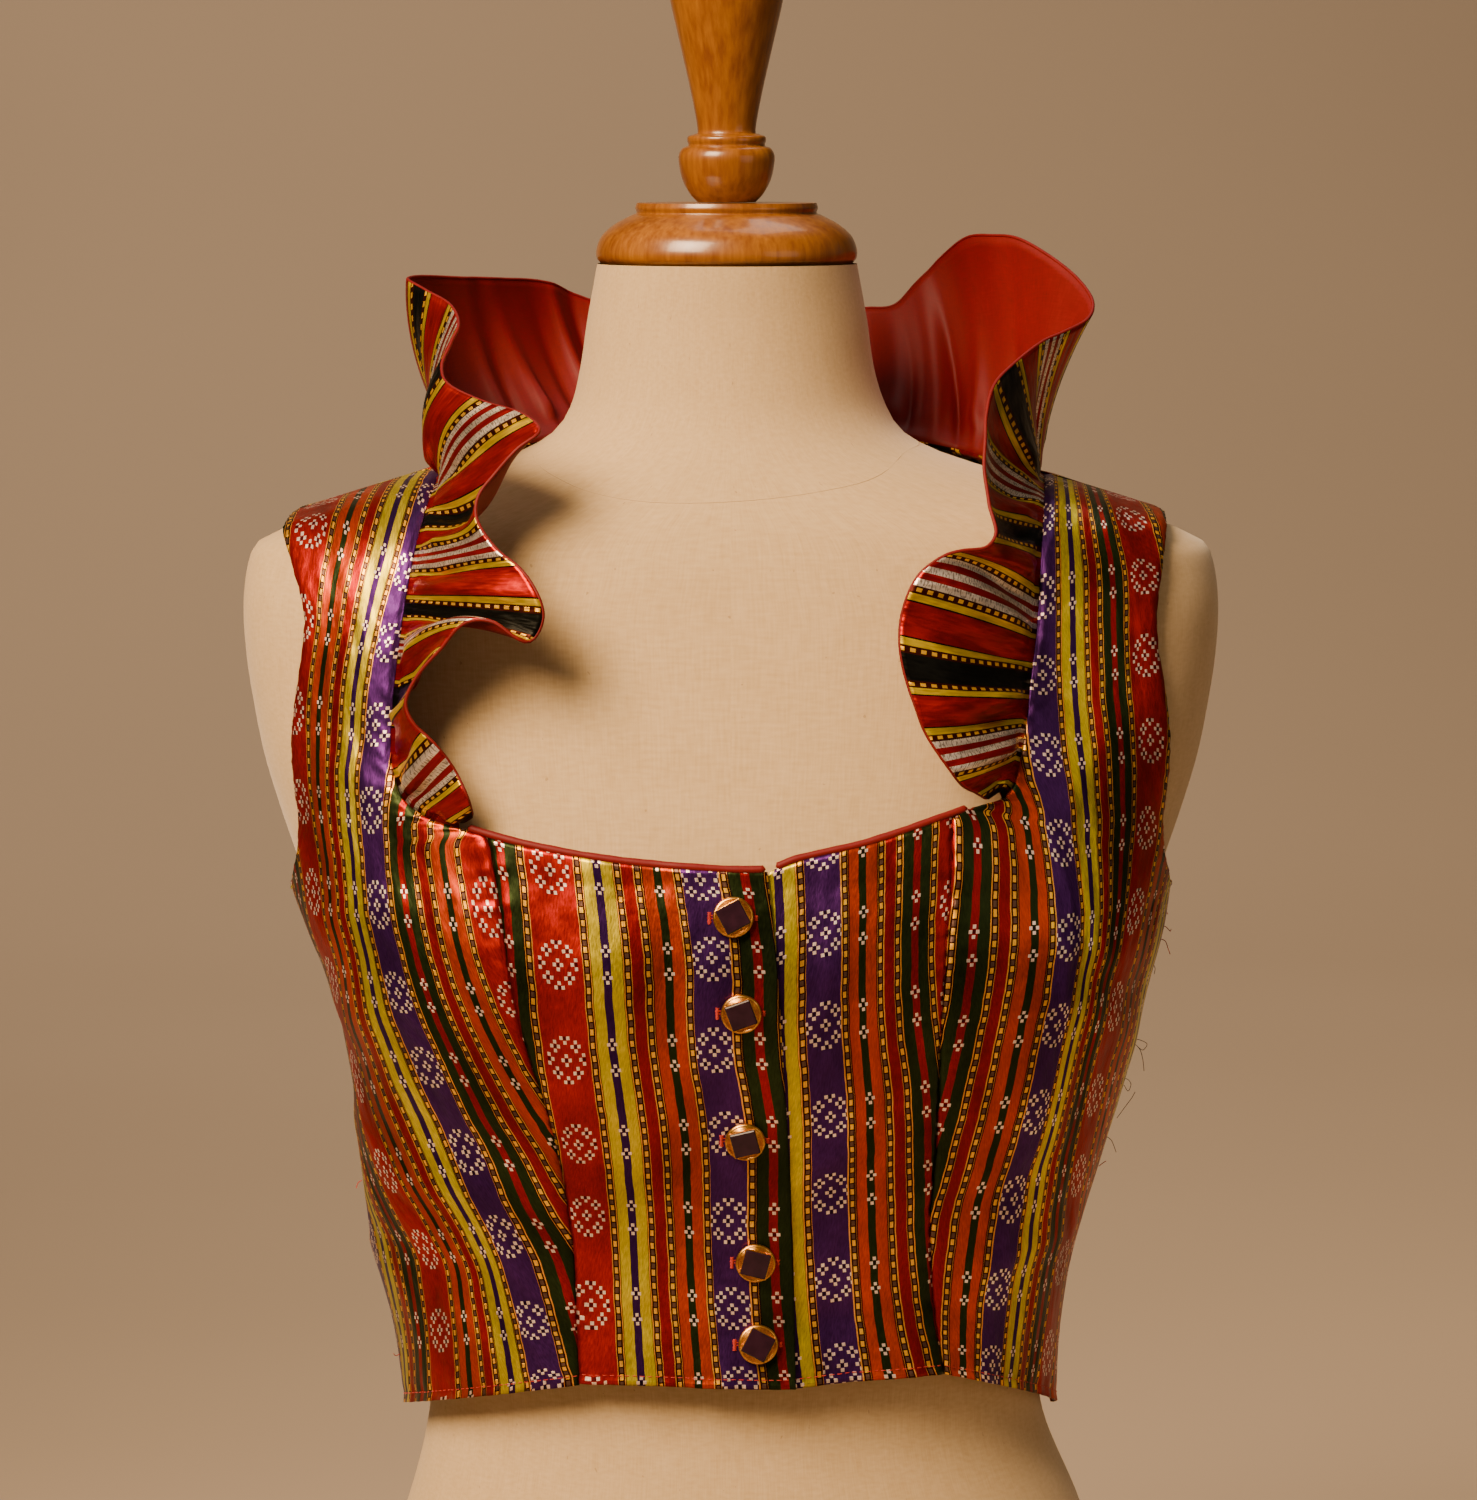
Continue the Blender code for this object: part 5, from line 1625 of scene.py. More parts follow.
LEFT_SIDE_GUIDES = (
    Guide(329.0, ((120.2, 569.9, 10), (120, 541.5, 9), (121.8, 511.2, 8), (127.1, 477.8, 7),
                  (131.1, 441.3, 6),
                  (125.9, 407.4, 5), (119.7, 371.7, 4), (111.1, 335.1, 3), (105, 298, 2), (102.9, 267.7, 1))),
    Guide(392.75, ((154.5, 600, 11), (160, 578, 10), (160.9, 547.4, 9), (162.6, 514.5, 8), (161.6, 480.0, 7),
                   (156.9, 448.5, 6), (149, 411.3, 5), (141.8, 374.5, 4), (136.7, 340.4, 3),
                   (131.5, 303.0, 2))),
    Guide(438.75, ((168.6, 441.1, 6), (165.0, 428.5, 6), (161.6, 416.7, 6), (157.6, 397.2, 6),
                   (153.4, 383.6, 6),
                   (149.8, 370.0, 6), (146.2, 352.3, 6), (143.0, 338.8, 6), (137.5, 312.0, 6)),
                   (316.0, 440.0)),
)
RIGHT_CENTRE_GUIDES = (
    Guide(265.25, ((-68.7, 470.1, 7), (-65.6, 434.3, 6), (-62.5, 396.8, 5), (-58.6, 362.2, 4),
                   (-55.5, 333.4, 3),
                   (-53.8, 297, 2))),
    Guide(201.5, ((-11.6, 466.9, 7), (-7.1, 437.9, 6), (-6.3, 401.5, 5), (-1.4, 368.3, 4), (-1, 332.2, 3),
                  (0.5, 296.7, 2), (3.6, 266.6, 1))),
)
LEFT_CENTRE_GUIDES = (
    Guide(329.0, ((35.1, 478.8, 7), (36.2, 446.9, 6), (36.3, 411.3, 5), (38.4, 374.2, 4), (38.6, 343.3, 3),
                  (40.3, 307.4, 2), (43.1, 273.6, 1))),
)
# Place across the cloth at the seams: height, millimetres on the cloth
RIGHT_SIDE_SEAM = ((265, 87), (319, 98.5), (343, 110.5), (385, 127.5), (410, 134), (432, 140), (444, 143),
                   (481, 145), (485, 124), (488, 104.5), (495, 89), (507, 82.5))
RIGHT_CENTRE_SEAM = ((266, 269), (297, 270), (320, 274), (343, 275.5), (360, 277.5), (379, 279), (393, 282),
                     (408, 284.5), (425, 287), (444, 288), (483, 291))
LEFT_CENTRE_SEAM = ((267, 288.5), (287, 286.5), (335, 284), (388, 279), (405, 275.5), (430, 270), (455, 268),
                    (490, 268.5))
LEFT_SIDE_SEAM = ((267, 302), (300, 297), (330, 292.5), (400, 279), (413, 276.5), (455, 275), (490, 273),
                  (493.5, 288), (496, 303), (502, 314), (514, 319.3))
# Larger folds of the collar: their number, and bounds of the half width and the height of each
FOLD_COUNT = 58
FOLD_WIDTH = (2.2, 4.6)
FOLD_DEPTH = (2.4, 4.8)
# Share of its pitch by which a fold is off its place, its reach to the rim with the change, and its lean
FOLD_SCATTER = 0.42
FOLD_REACH = (0.85, 0.35)
FOLD_LEAN = 7.0
# Small gathers at the stitches: how far off their place, then width, reach and depth, each with its change
GATHER_SCATTER = 0.38
GATHER_WIDTH = (1.9, 0.7)
GATHER_REACH = (0.36, 0.26)
GATHER_DEPTH = (1.0, 0.7)
# Share of the ruffle's height at which the lining is gathered, 8 of 62 mm, and its dip there with its run
GATHER_LINE = 8.0 / 62.0
LINING_DIP = (0.45, 0.025)
# Ruffle's lower edge: how far under the vest's face, how far below the seam, and how far the lining is behind
TUCK_UNDER = 1.75
TUCK_BELOW = 2.4
LINING_BEHIND = 0.7
# Rim: how far its roll lies to the lining's side, and its half axes
RIM_SHIFT = 0.15
RIM_AXES = (0.72, 0.62)
# Half thickness of the threads: hem, buttonholes, loose ends and the seam of the form's neck
HEM_THREAD_RADIUS = 0.17
BAR_THREAD_RADIUS = 0.2
DARK_END_RADIUS = 0.13
RED_END_RADIUS = 0.16
NECK_SEAM_RADIUS = 0.22
# Share of its distance from the form's axis by which the neck seam is sunk into the jersey
NECK_SEAM_SINK = 0.0007
# Hem stitch: shares of its length with the height of the thread above the cloth, and the change of the pitch
STITCH_ARCH = ((0.0, -0.15), (0.25, 0.16), (0.75, 0.16), (1.0, -0.15))
STITCH_CHANGE = 0.25
# Buttonholes: bars as place beside the button and height, and pitch, half width and arch of their stitches
BARS = ((-9.0, 5.0), (8.6, 2.4))
BAR_PITCH = 0.42
BAR_HALF = 0.62
BAR_CHANGE = 0.18
BAR_ARCH = ((-1.0, -0.1), (-0.4, 0.38), (0.4, 0.38), (1.0, -0.1))
# Slit between the bars: half width, points along it with their pitch and change, and height above the cloth
SLIT_HALF = 0.55
SLIT_POINTS = 9
SLIT_PITCH = 2.2
SLIT_CHANGE = 0.12
SLIT_LIFT = 0.12
# Loose ends of thread: dark ones at the side seam on the wearer's left, red ones there and below the armhole,
# and two more at the wearer's right, by the side seam and the hem
DARK_FRAY = (
    ((159.9, -26, 390.2), (162.5, -28, 390.1), (165.2, -30, 388.8), (163.8, -27, 385.9), (161.7, -29, 387.4)),
    ((160.7, -26, 388.2), (162.6, -28, 386.1), (163.6, -30, 382.4), (164.3, -27, 377.5)),
    ((155.2, -26, 374.1), (157.5, -28, 374.4), (158.9, -30, 372.7), (158.0, -27, 369.4), (156.2, -29, 372.2)),
    ((153.7, -26, 358.4), (156.7, -28, 363.1), (159.0, -30, 366.7), (160.8, -27, 369.0)),
    ((149.4, -26, 351.1), (151.3, -28, 349.9), (152.3, -30, 347.8), (153.4, -27, 344.8)),
    ((167.2, -26, 421.1), (168.3, -28, 419.0), (167.8, -30, 416.8)),
)
RED_FRAY = (
    ((169.7, -26, 436.3), (172.5, -28, 435.4), (174.0, -30, 434.0), (174.6, -27, 434.4)),
    ((169.3, -26, 430.7), (172.2, -28, 429.8), (173.2, -30, 427.2), (174.3, -27, 424.4)),
    ((169.6, -26, 441.9), (172.1, -28, 441.8), (173.1, -30, 440.8)),
    ((146.7, -26, 339.0), (148.1, -28, 340.6), (149.2, -30, 341.7)),
    ((-147.0, -30, 334.0), (-148.4, -31, 333.0), (-149.0, -32, 331.2)),
    ((-132.0, -20, 262.0), (-134.2, -22, 261.4), (-135.0, -24, 262.6)),
)
# Seam between the body and the neck of the dress form: x, y, height
FORM_NECK_SEAM = ((-90, 0, 626.0), (-87, -14, 625.0), (-75, -29.8, 622.7), (-50.7, -62.1, 615.6),
                  (-11.8, -75.6, 606.7), (26.8, -69.8, 612.6), (62.2, -42.2, 623.4), (84, -12, 626.0),
                  (88, 0, 626.5))
# Back darts: distance from the middle, height of the tip, and the cloth taken in at each height
DART_X = 62.0
DART_TIP = 410.0
DART_TAKE = ((238.0, 4.0), (270.0, 12.0), (300.0, 16.0), (350.0, 8.0), (410.0, 0.0))
# Width in which the stripes jump at a dart, run in which it fades at its tip, depth and half width of its dip
# and of its puckers
DART_STEP = 1.5
DART_FADE = 60.0
DART_DIP = (0.9, 1.8)
DART_PUCKER = (0.5, 14.0)
# Back: place across the cloth at its middle, and place along the cloth at its hem
BACK_MIDDLE = 74.0
BACK_START = 30.0


def edge_line(table: Sequence[Sequence[float]]) -> Callable[[float], float]:
    """Smooth x of an edge as a function of height."""
    return lambda height: along(table, height, 1)


@dataclass
class VestBody:
    """The five cut panels of the vest, each of them thin satin on the form of its CAD solid."""

    material: bpy.types.Material
    panels: dict[str, Panel] = field(default_factory=dict)
    right_edge: np.ndarray | None = None
    left_edge: np.ndarray | None = None
    back_top: np.ndarray | None = None

    def side_grid(self, rows: Sequence[Sequence[float]], shoulder: Sequence[Sequence[float]]) -> np.ndarray:
        """Fine grid of a side front from its inner edge to its outer one."""
        coarse = as_array(side_panel_rows(rows, shoulder, SIDE_COLUMNS))
        return refine_columns(refine(coarse, SIDE_ROW_STEPS), 2)

    def centre_grid(self, inner: Callable[[float], float], outer: Callable[[float], float],
                    shift: Callable[[float, float], float], drop: float) -> np.ndarray:
        """Fine grid of a centre front."""
        return as_array(centre_panel_rows(inner, outer, shift, drop, CENTRE_COLUMNS, CENTRE_ROWS))

    def back_grid(self) -> np.ndarray:
        """Fine grid of the back, seen from outside, so that its columns run from +X to -X."""
        coarse = as_array(back_main_rows())
        self.back_top = refine(coarse[-1], 8)
        return refine_columns(refine(coarse, 7), 5)[:, ::-1]

    def back_cloth(self, grid: np.ndarray) -> tuple[np.ndarray, np.ndarray]:
        """Stripes of the back: straight up, with a rosette stripe in the middle, and closing in the darts."""
        arcs = arc_lengths(grid, 1)
        zero = np.array([np.interp(0.0, -row[:, 0], arc) for row, arc in zip(grid, arcs)])
        cloth_u = BACK_MIDDLE + arcs - zero[:, None]
        take = np.interp(grid[:, 0, 2], [row[0] for row in DART_TAKE], [row[1] for row in DART_TAKE])
        for side in (-1.0, 1.0):
            beyond = np.clip((side * -grid[..., 0] - DART_X) / DART_STEP + 0.5, 0.0, 1.0)
            beyond = beyond * (grid[..., 2] < DART_TIP)
            cloth_u += side * beyond * take[:, None]
        cloth_v = arc_lengths(grid, 0)
        return cloth_u, cloth_v + BACK_START

    def back_relief(self, grid: np.ndarray) -> np.ndarray:
        """Dip of the two sewn darts."""
        relief = np.zeros(grid.shape[:2])
        for side in (-1.0, 1.0):
            distance = np.abs(side * grid[..., 0] - DART_X)
            fade = np.clip((DART_TIP - grid[..., 2]) / DART_FADE, 0.0, 1.0)
            relief -= DART_DIP[0] * np.exp(-(distance / DART_DIP[1]) ** 2) * fade
            pucker = DART_PUCKER[0] * np.exp(-(distance / DART_PUCKER[1]) ** 2)
            relief += pucker * fade * np.sin(grid[..., 2] * 0.31 + side)
        return relief

    def build(self) -> None:
        """Make the five panels."""
        right = self.side_grid(RIGHT_SIDE_ROWS, RIGHT_SHOULDER_ROWS)
        left = self.side_grid(LEFT_SIDE_ROWS, LEFT_SHOULDER_ROWS)
        self.right_edge = right[RIGHT_RUFFLE_ROW * SIDE_ROW_STEPS:, 0]
        self.left_edge = left[LEFT_RUFFLE_ROW * SIDE_ROW_STEPS:, 0][::-1]
        right_line = edge_line([(z, x) for x, z, _ in RIGHT_SIDE_ROWS[:11]])
        left_line = edge_line([(z, x) for x, z, _ in LEFT_SIDE_ROWS[:11]])
        lap = edge_line(LAP_EDGE)
        right_centre = self.centre_grid(right_line, lap, lap_raise, 0.0)
        left_centre = self.centre_grid(lambda z: lap(z) - UNDERLAP, left_line, unraised, LAP_DROP)
        back = self.back_grid()
        back_cloth = self.back_cloth(back)
        back = back + grid_normals(back) * self.back_relief(back)[..., None]
        for panel in (
            Panel("right_side_front", "front_right_side", right[:, ::-1], RIGHT_SIDE_GUIDES, 1.0, seed=0.4,
                  flat=(0.155, 0.440), area=0.0455, edges=((), RIGHT_SIDE_SEAM)),
            Panel("left_side_front", "front_left_side", left, LEFT_SIDE_GUIDES, 1.0, seed=2.2,
                  flat=(0.155, 0.440), area=0.0400, edges=(LEFT_SIDE_SEAM, ())),
            Panel("right_centre_front", "front_right_centre", right_centre, RIGHT_CENTRE_GUIDES, -1.0,
                  (True, False), 1.1, flat=(0.125, 0.235), area=0.0225, edges=(RIGHT_CENTRE_SEAM, ())),
            Panel("left_centre_front", "front_left_centre", left_centre, LEFT_CENTRE_GUIDES, -1.0,
                  (False, True), 3.1, flat=(0.100, 0.240), area=0.0175, edges=((), LEFT_CENTRE_SEAM)),
            Panel("back_panel", "back", back, (), 1.0, seed=4.0, flat=(0.440, 0.450), area=0.1620,
                  cloth=back_cloth),
        ):
            panel.build(self.material)
            self.panels[panel.name] = panel


# Place on the neck seam against repeats of the ribbon cloth
RUFFLE_CLOTH = (
    (0.0, 0.0), (0.113, 0.5), (0.328, 1.0), (0.412, 1.5), (0.482, 2.0), (0.578, 2.5), (0.665, 3.0),
    (0.787, 3.5),
    (0.877, 4.0), (0.948, 4.5), (1.010, 5.0), (1.150, 5.75), (1.350, 6.75), (1.550, 7.75), (1.750, 8.75),
    (2.000, 10.0), (2.053, 10.5), (2.127, 11.0), (2.268, 11.5), (2.420, 12.0), (2.598, 12.5), (2.740, 13.0),
    (2.862, 13.5), (2.928, 13.75), (3.0, 14.0),
)


@dataclass
class CollarRuffle:
    """Gathered double ruffle of the collar: ribbon cloth outside, red satin inside, closed along its rim."""

    body: VestBody
    shell_material: bpy.types.Material
    lining_material: bpy.types.Material
    columns: int = 640
    levels: int = 24
    layer: float = 0.5
    apart: float = 0.08
    gathers: int = 88
    middle: np.ndarray | None = None
    normals: np.ndarray | None = None
    places: np.ndarray | None = None
    seam_length: np.ndarray | None = None
    tuck: np.ndarray | None = None

    def stretches(self) -> list[np.ndarray]:
        """Neck seam in its three stretches: right front, back, left front."""
        x = self.body.back_top[:, 0]
        back = self.body.back_top[(x >= RIGHT_SHOULDER_ROWS[-1][0]) & (x <= LEFT_SHOULDER_ROWS[-1][0])]
        return [self.body.right_edge, back, self.body.left_edge]

    def spread_places(self) -> np.ndarray:
        """Places on the seam for every column, evenly apart on the rim."""
        dense = np.linspace(0.0, 3.0, 2401)
        rim = np.array([[along(RUFFLE_STATIONS, place, column) for column in (1, 2, 3)] for place in dense])
        lengths = run_lengths(rim)
        return np.interp(np.linspace(0.0, lengths[-1], self.columns + 1), lengths, dense)

    def fold_relief(self, seam_length: np.ndarray) -> np.ndarray:
        """Uneven folds of the whole collar, which spring from the seam and die out before the rim."""
        relief = np.zeros((self.levels + 1, self.columns + 1))
        level = np.linspace(0.0, 1.0, self.levels + 1)[:, None]
        for number in range(FOLD_COUNT):
            centre = (number + 0.5 + FOLD_SCATTER * wander(number * 1.9, 5.3)) * seam_length[-1] / FOLD_COUNT
            share = 0.5 + 0.5 * wander(number * 2.9, 0.7)
            width = lerp(*FOLD_WIDTH, min(1.0, max(0.0, share)))
            depth = lerp(*FOLD_DEPTH, min(1.0, max(0.0, 0.5 + 0.5 * wander(number * 1.1, 3.9))))
            reach = FOLD_REACH[0] + FOLD_REACH[1] * wander(number * 0.7, 2.2)
            lean = FOLD_LEAN * wander(number * 1.3, 6.1)
            rise = np.clip(level / 0.22, 0.0, 1.0) * np.clip(1.0 - (level - 0.2) / max(0.4, reach), 0.12, 1.0)
            offset = (seam_length[None, :] - centre - lean * level) / (width * (0.8 + 0.9 * level))
            relief += depth * (1.0 if number % 2 else -1.0) * rise / (1.0 + offset ** 2) ** 1.5
        return relief

    def gather_relief(self, seam_length: np.ndarray, seed: float, start: float) -> np.ndarray:
        """Small uneven puffs beside the gathering stitches, all to one side of the cloth.

        Args:
            seam_length: Length along the seam at each column in millimetres.
            seed: Number that sets where the puffs fall.
            start: Share of the height at which the cloth is gathered.

        Returns:
            Height of the puffs in millimetres, which is never negative.
        """
        relief = np.zeros((self.levels + 1, self.columns + 1))
        level = np.linspace(0.0, 1.0, self.levels + 1)[:, None]
        total = seam_length[-1]
        for number in range(self.gathers):
            centre = (number + 0.5 + GATHER_SCATTER * wander(number * 1.7, seed)) * total / self.gathers
            width = GATHER_WIDTH[0] + GATHER_WIDTH[1] * wander(number * 2.3, seed + 1.9)
            reach = GATHER_REACH[0] + GATHER_REACH[1] * wander(number * 0.9, seed + 4.1)
            depth = GATHER_DEPTH[0] + GATHER_DEPTH[1] * wander(number * 1.3, seed + 2.7)
            across = np.exp(-((seam_length[None, :] - centre) / width) ** 2)
            above = np.clip((level - start) / 0.05, 0.0, 1.0)
            fall = np.clip(1.0 - (level - start) / max(0.14, reach), 0.0, 1.0)
            relief += depth * across * above * fall ** 1.4
        return relief

    def shape(self) -> None:
        """Middle surface between the two cloths, rows from the seam to the rim."""
        self.places = self.spread_places()
        stretches = self.stretches()
        bases, rims, swells, seams, intos = [], [], [], [], []
        for place in self.places:
            index = min(2, int(place))
            path = stretches[index]
            lengths = run_lengths(path)
            goal = (place - index) * lengths[-1]
            seam = Vector([float(np.interp(goal, lengths, path[:, axis])) for axis in range(3)])
            ahead = Vector([float(np.interp(goal + 1.0, lengths, path[:, axis])) for axis in range(3)])
            before = Vector([float(np.interp(goal - 1.0, lengths, path[:, axis])) for axis in range(3)])
            out = surface_normal(seam)
            into = (ahead - before).normalized().cross(out).normalized()
            bases.append(seam - out * (VEST_WALL / 2.0) + into * RUFFLE_STAND_OFF)
            seams.append(seam)
            intos.append(tuple(into))
            rims.append([along(RUFFLE_STATIONS, place, column) for column in (1, 2, 3)])
            swells.append([along(RUFFLE_STATIONS, place, column) for column in (4, 5, 6)])
        base, rim, swell = np.array(bases), np.array(rims), np.array(swells)
        base = np.stack([evened(base[:, axis], 9, mode="edge") for axis in range(3)], 1)
        control = (base + rim) / 2.0 + swell * 2.0
        t = np.linspace(0.0, 1.0, self.levels + 1)[:, None, None]
        grid = base * (1 - t) ** 2 + control * (2 * t * (1 - t)) + rim * t * t
        seam_length = run_lengths(base)
        grid = grid + grid_normals(grid) * self.fold_relief(seam_length)[..., None]
        self.middle = grid
        self.normals = grid_normals(grid)
        self.seam_length = seam_length
        out = np.array([tuple(surface_normal(seam)) for seam in seams])
        into = np.array(intos)
        self.tuck = np.array([tuple(seam) for seam in seams]) - out * TUCK_UNDER - into * TUCK_BELOW

    def build(self) -> None:
        """Make the two cloths and the rolled rim."""
        self.shape()
        keys, cloth = zip(*RUFFLE_CLOTH)
        repeat = evened(np.interp(self.places, keys, cloth), 13, mode="reflect", reflect_type="odd")
        # normals point to the neck side; the shell lies on the other side
        away = self.apart + self.layer + self.gather_relief(self.seam_length, 0.3, 0.0)
        near = self.apart + self.layer + self.gather_relief(self.seam_length, 3.3, GATHER_LINE)
        level = np.linspace(0.0, 1.0, self.levels + 1)[:, None]
        dip = LINING_DIP[0] * np.exp(-((level - GATHER_LINE) / LINING_DIP[1]) ** 2)
        shell = np.concatenate([self.tuck[None], self.middle - self.normals * away[..., None]])
        lining = self.middle + self.normals * (near - dip)[..., None]
        lining = np.concatenate([(self.tuck + self.normals[0] * LINING_BEHIND)[None], lining])
        cloth_u = np.broadcast_to(repeat * RIBBON_WIDTH, shell.shape[:2])
        cloth_v = arc_lengths(shell, 0)
        for name, node, grid, material, outward, slot in (
            ("ruffle_ribbon", "ruffle_shell", shell, self.shell_material, False, "striped_ribbon_satin"),
            ("ruffle_red_lining", "ruffle_lining", lining, self.lining_material, True, "red_satin"),
        ):
            piece = sheet_mesh(name, grid, cloth_u, cloth_v, material, self.layer, outward)
            settle(piece, node)
        self.build_rim()

    def build_rim(self) -> None:
        """Red edge where the lining is turned over the rim."""
        rim = self.middle[-1] + self.normals[-1] * RIM_SHIFT
        tangent = np.gradient(rim, axis=0)
        tangent /= np.linalg.norm(tangent, axis=1, keepdims=True)
        second = np.cross(tangent, self.normals[-1])
        first = self.normals[-1] * RIM_AXES[0]
        piece = roll("ruffle_rim", rim, first, second * RIM_AXES[1], self.lining_material)
        settle(piece)


def roll(name: str, centres: np.ndarray, first: np.ndarray, second: np.ndarray,
         material: bpy.types.Material, sides: int = 10) -> bpy.types.Object:
    """Rolled edge of cloth with an oval section.

    Args:
        name: Name of the piece.
        centres: Points of its middle line in millimetres.
        first: Half axis of the oval at each point.
        second: The other half axis at each point.
        material: Finish of the cloth.
        sides: Number of faces round it.

    Returns:
        The piece, closed at both ends.
    """
    turns = np.linspace(0.0, 2.0 * math.pi, sides, endpoint=False)
    cosine, sine = np.cos(turns)[None, :, None], np.sin(turns)[None, :, None]
    ring = first[:, None, :] * cosine + second[:, None, :] * sine
    ring[0] *= 0.02
    ring[-1] *= 0.02
    grid = centres[:, None, :] + ring
    lengths = run_lengths(centres)
    cloth_u = np.broadcast_to(np.linspace(0.0, 3.0, sides)[None, :], grid.shape[:2])
    cloth_v = np.broadcast_to(lengths[:, None], grid.shape[:2])
    return sheet_mesh(name, grid, cloth_u, cloth_v, material, 0.0, True, closed=True)


@dataclass
class NeckBindings:
    """Narrow red bindings rolled over the top edges of the two centre fronts."""

    material: bpy.types.Material
    start: float = -101.0
    finish: float = 91.0
    lap_margins: tuple[float, float] = (0.5, 3.5)
    height: float = 2.6
    rise: float = 0.42
    swell: float = 0.55
    unevenness: float = 0.07
    wall: float = VEST_WALL

    def line(self, x_from: float, x_to: float, lift: Callable[[float, float], float],
             steps: int) -> tuple[np.ndarray, np.ndarray, np.ndarray]:
        """Middle line of a binding with the half axes of its section."""
        centres, firsts, seconds = [], [], []
        for step in range(steps + 1):
            x = lerp(x_from, x_to, step / steps)
            height = along(FRONT_NECK, x, 1)
            edge = vest_point(x, height)
            ahead = vest_point(x + 1.0, along(FRONT_NECK, x + 1.0, 1))
            out = surface_normal(edge)
            up = out.cross(ahead - edge).normalized()
            swell = 1.0 + self.unevenness * wander(x * 0.35, 0.0)
            centres.append(edge + out * (lift(x, height) - self.wall / 2.0) + up * (self.height * self.rise))
            firsts.append(out * (self.wall / 2.0 + self.swell) * swell)
            seconds.append(up * self.height * (1.0 - self.rise) * swell)
        return np.array(centres), np.array(firsts), np.array(seconds)

    def build(self) -> None:
        """Make both bindings."""
        lap_x = straight(LAP_EDGE, LAP_TOP)
        right_end = lap_x - self.lap_margins[0]
        left_start = lap_x + self.lap_margins[1]
        for name, node, x_from, x_to, lift, steps in (
            ("right_neck_binding", "binding_right", self.start, right_end, lap_raise, 110),
            ("left_neck_binding", "binding_left", left_start, self.finish, unraised, 80),
        ):
            piece = roll(name, *self.line(x_from, x_to, lift, steps), self.material, 12)
            settle(piece, node)


@dataclass
class DressForm:
    """Limbless dress form under cream jersey, with the seam between body and neck."""

    jersey: bpy.types.Material
    segments: int = 160

    def build(self) -> None:
        """Make the covered body and the line of the neck seam."""
        heights = [FORM_BOTTOM] + [float(row[0]) for row in FORM_SECTIONS[1:]]
        levels = []
        for low, high in zip(heights, heights[1:]):
            count = max(1, round((high - low) / 4.0))
            levels += [lerp(low, high, step / count) for step in range(count)]
        levels.append(heights[-1])
        rings = []
        for height in levels:
            ring = []
            for index in range(self.segments):
                turn = 2.0 * math.pi * index / self.segments
                angle = math.asin(math.sin(turn))
                ring.append(tuple(section_point(angle, height, math.cos(turn) < 0, form_section)))
            rings.append(ring)
        grid = np.array(rings)
        centre = np.array([0.0, 0.0, FORM_BOTTOM])
        floor_rings = [centre + (grid[0] - centre) * share for share in (0.005, 0.5, 0.985)]
        grid = np.concatenate([np.array(floor_rings), grid])
        cloth_u = np.broadcast_to(np.linspace(0.0, 1130.0, self.segments)[None, :], grid.shape[:2])
        cloth_v = np.broadcast_to(grid[:, :1, 2], grid.shape[:2])
        piece = sheet_mesh("dress_form_jersey", grid, cloth_u, cloth_v, self.jersey, 0.0, True, closed=True)
        settle(piece, "dress_form")
        line = []
        for point in soft_line(FORM_NECK_SEAM, 10):
            angle = math.atan2(point.x, -point.y)
            reach = section_point(angle, point.z, False, form_section)
            line.append(reach.lerp(Vector((0.0, 0.0, point.z)), NECK_SEAM_SINK))
        settle(thread("form_neck_seam", [line], NECK_SEAM_RADIUS, self.jersey))


@dataclass
class StandWood:
    """Turned and varnished wood of the stand: base, neck cap and finial."""

    material: bpy.types.Material
    axis_x: float = -1.7

    def build(self) -> None:
        """Turn the three pieces, each with a finer profile than its CAD solid."""
        for name, node, profile, axis, factor, segments in (
            ("turned_base", "stand_base", BASE_PROFILE, 0.0, 3, 96),
            ("turned_neck_cap", "neck_cap", CAP_PROFILE, self.axis_x, 4, 96),
            ("turned_finial", "finial", FINIAL_PROFILE, self.axis_x, 4, 72),
        ):
            piece = turned(name, fine_profile(profile, factor), axis, ORIGIN_SHIFT_Y, segments, self.material)
            settle(piece, node)


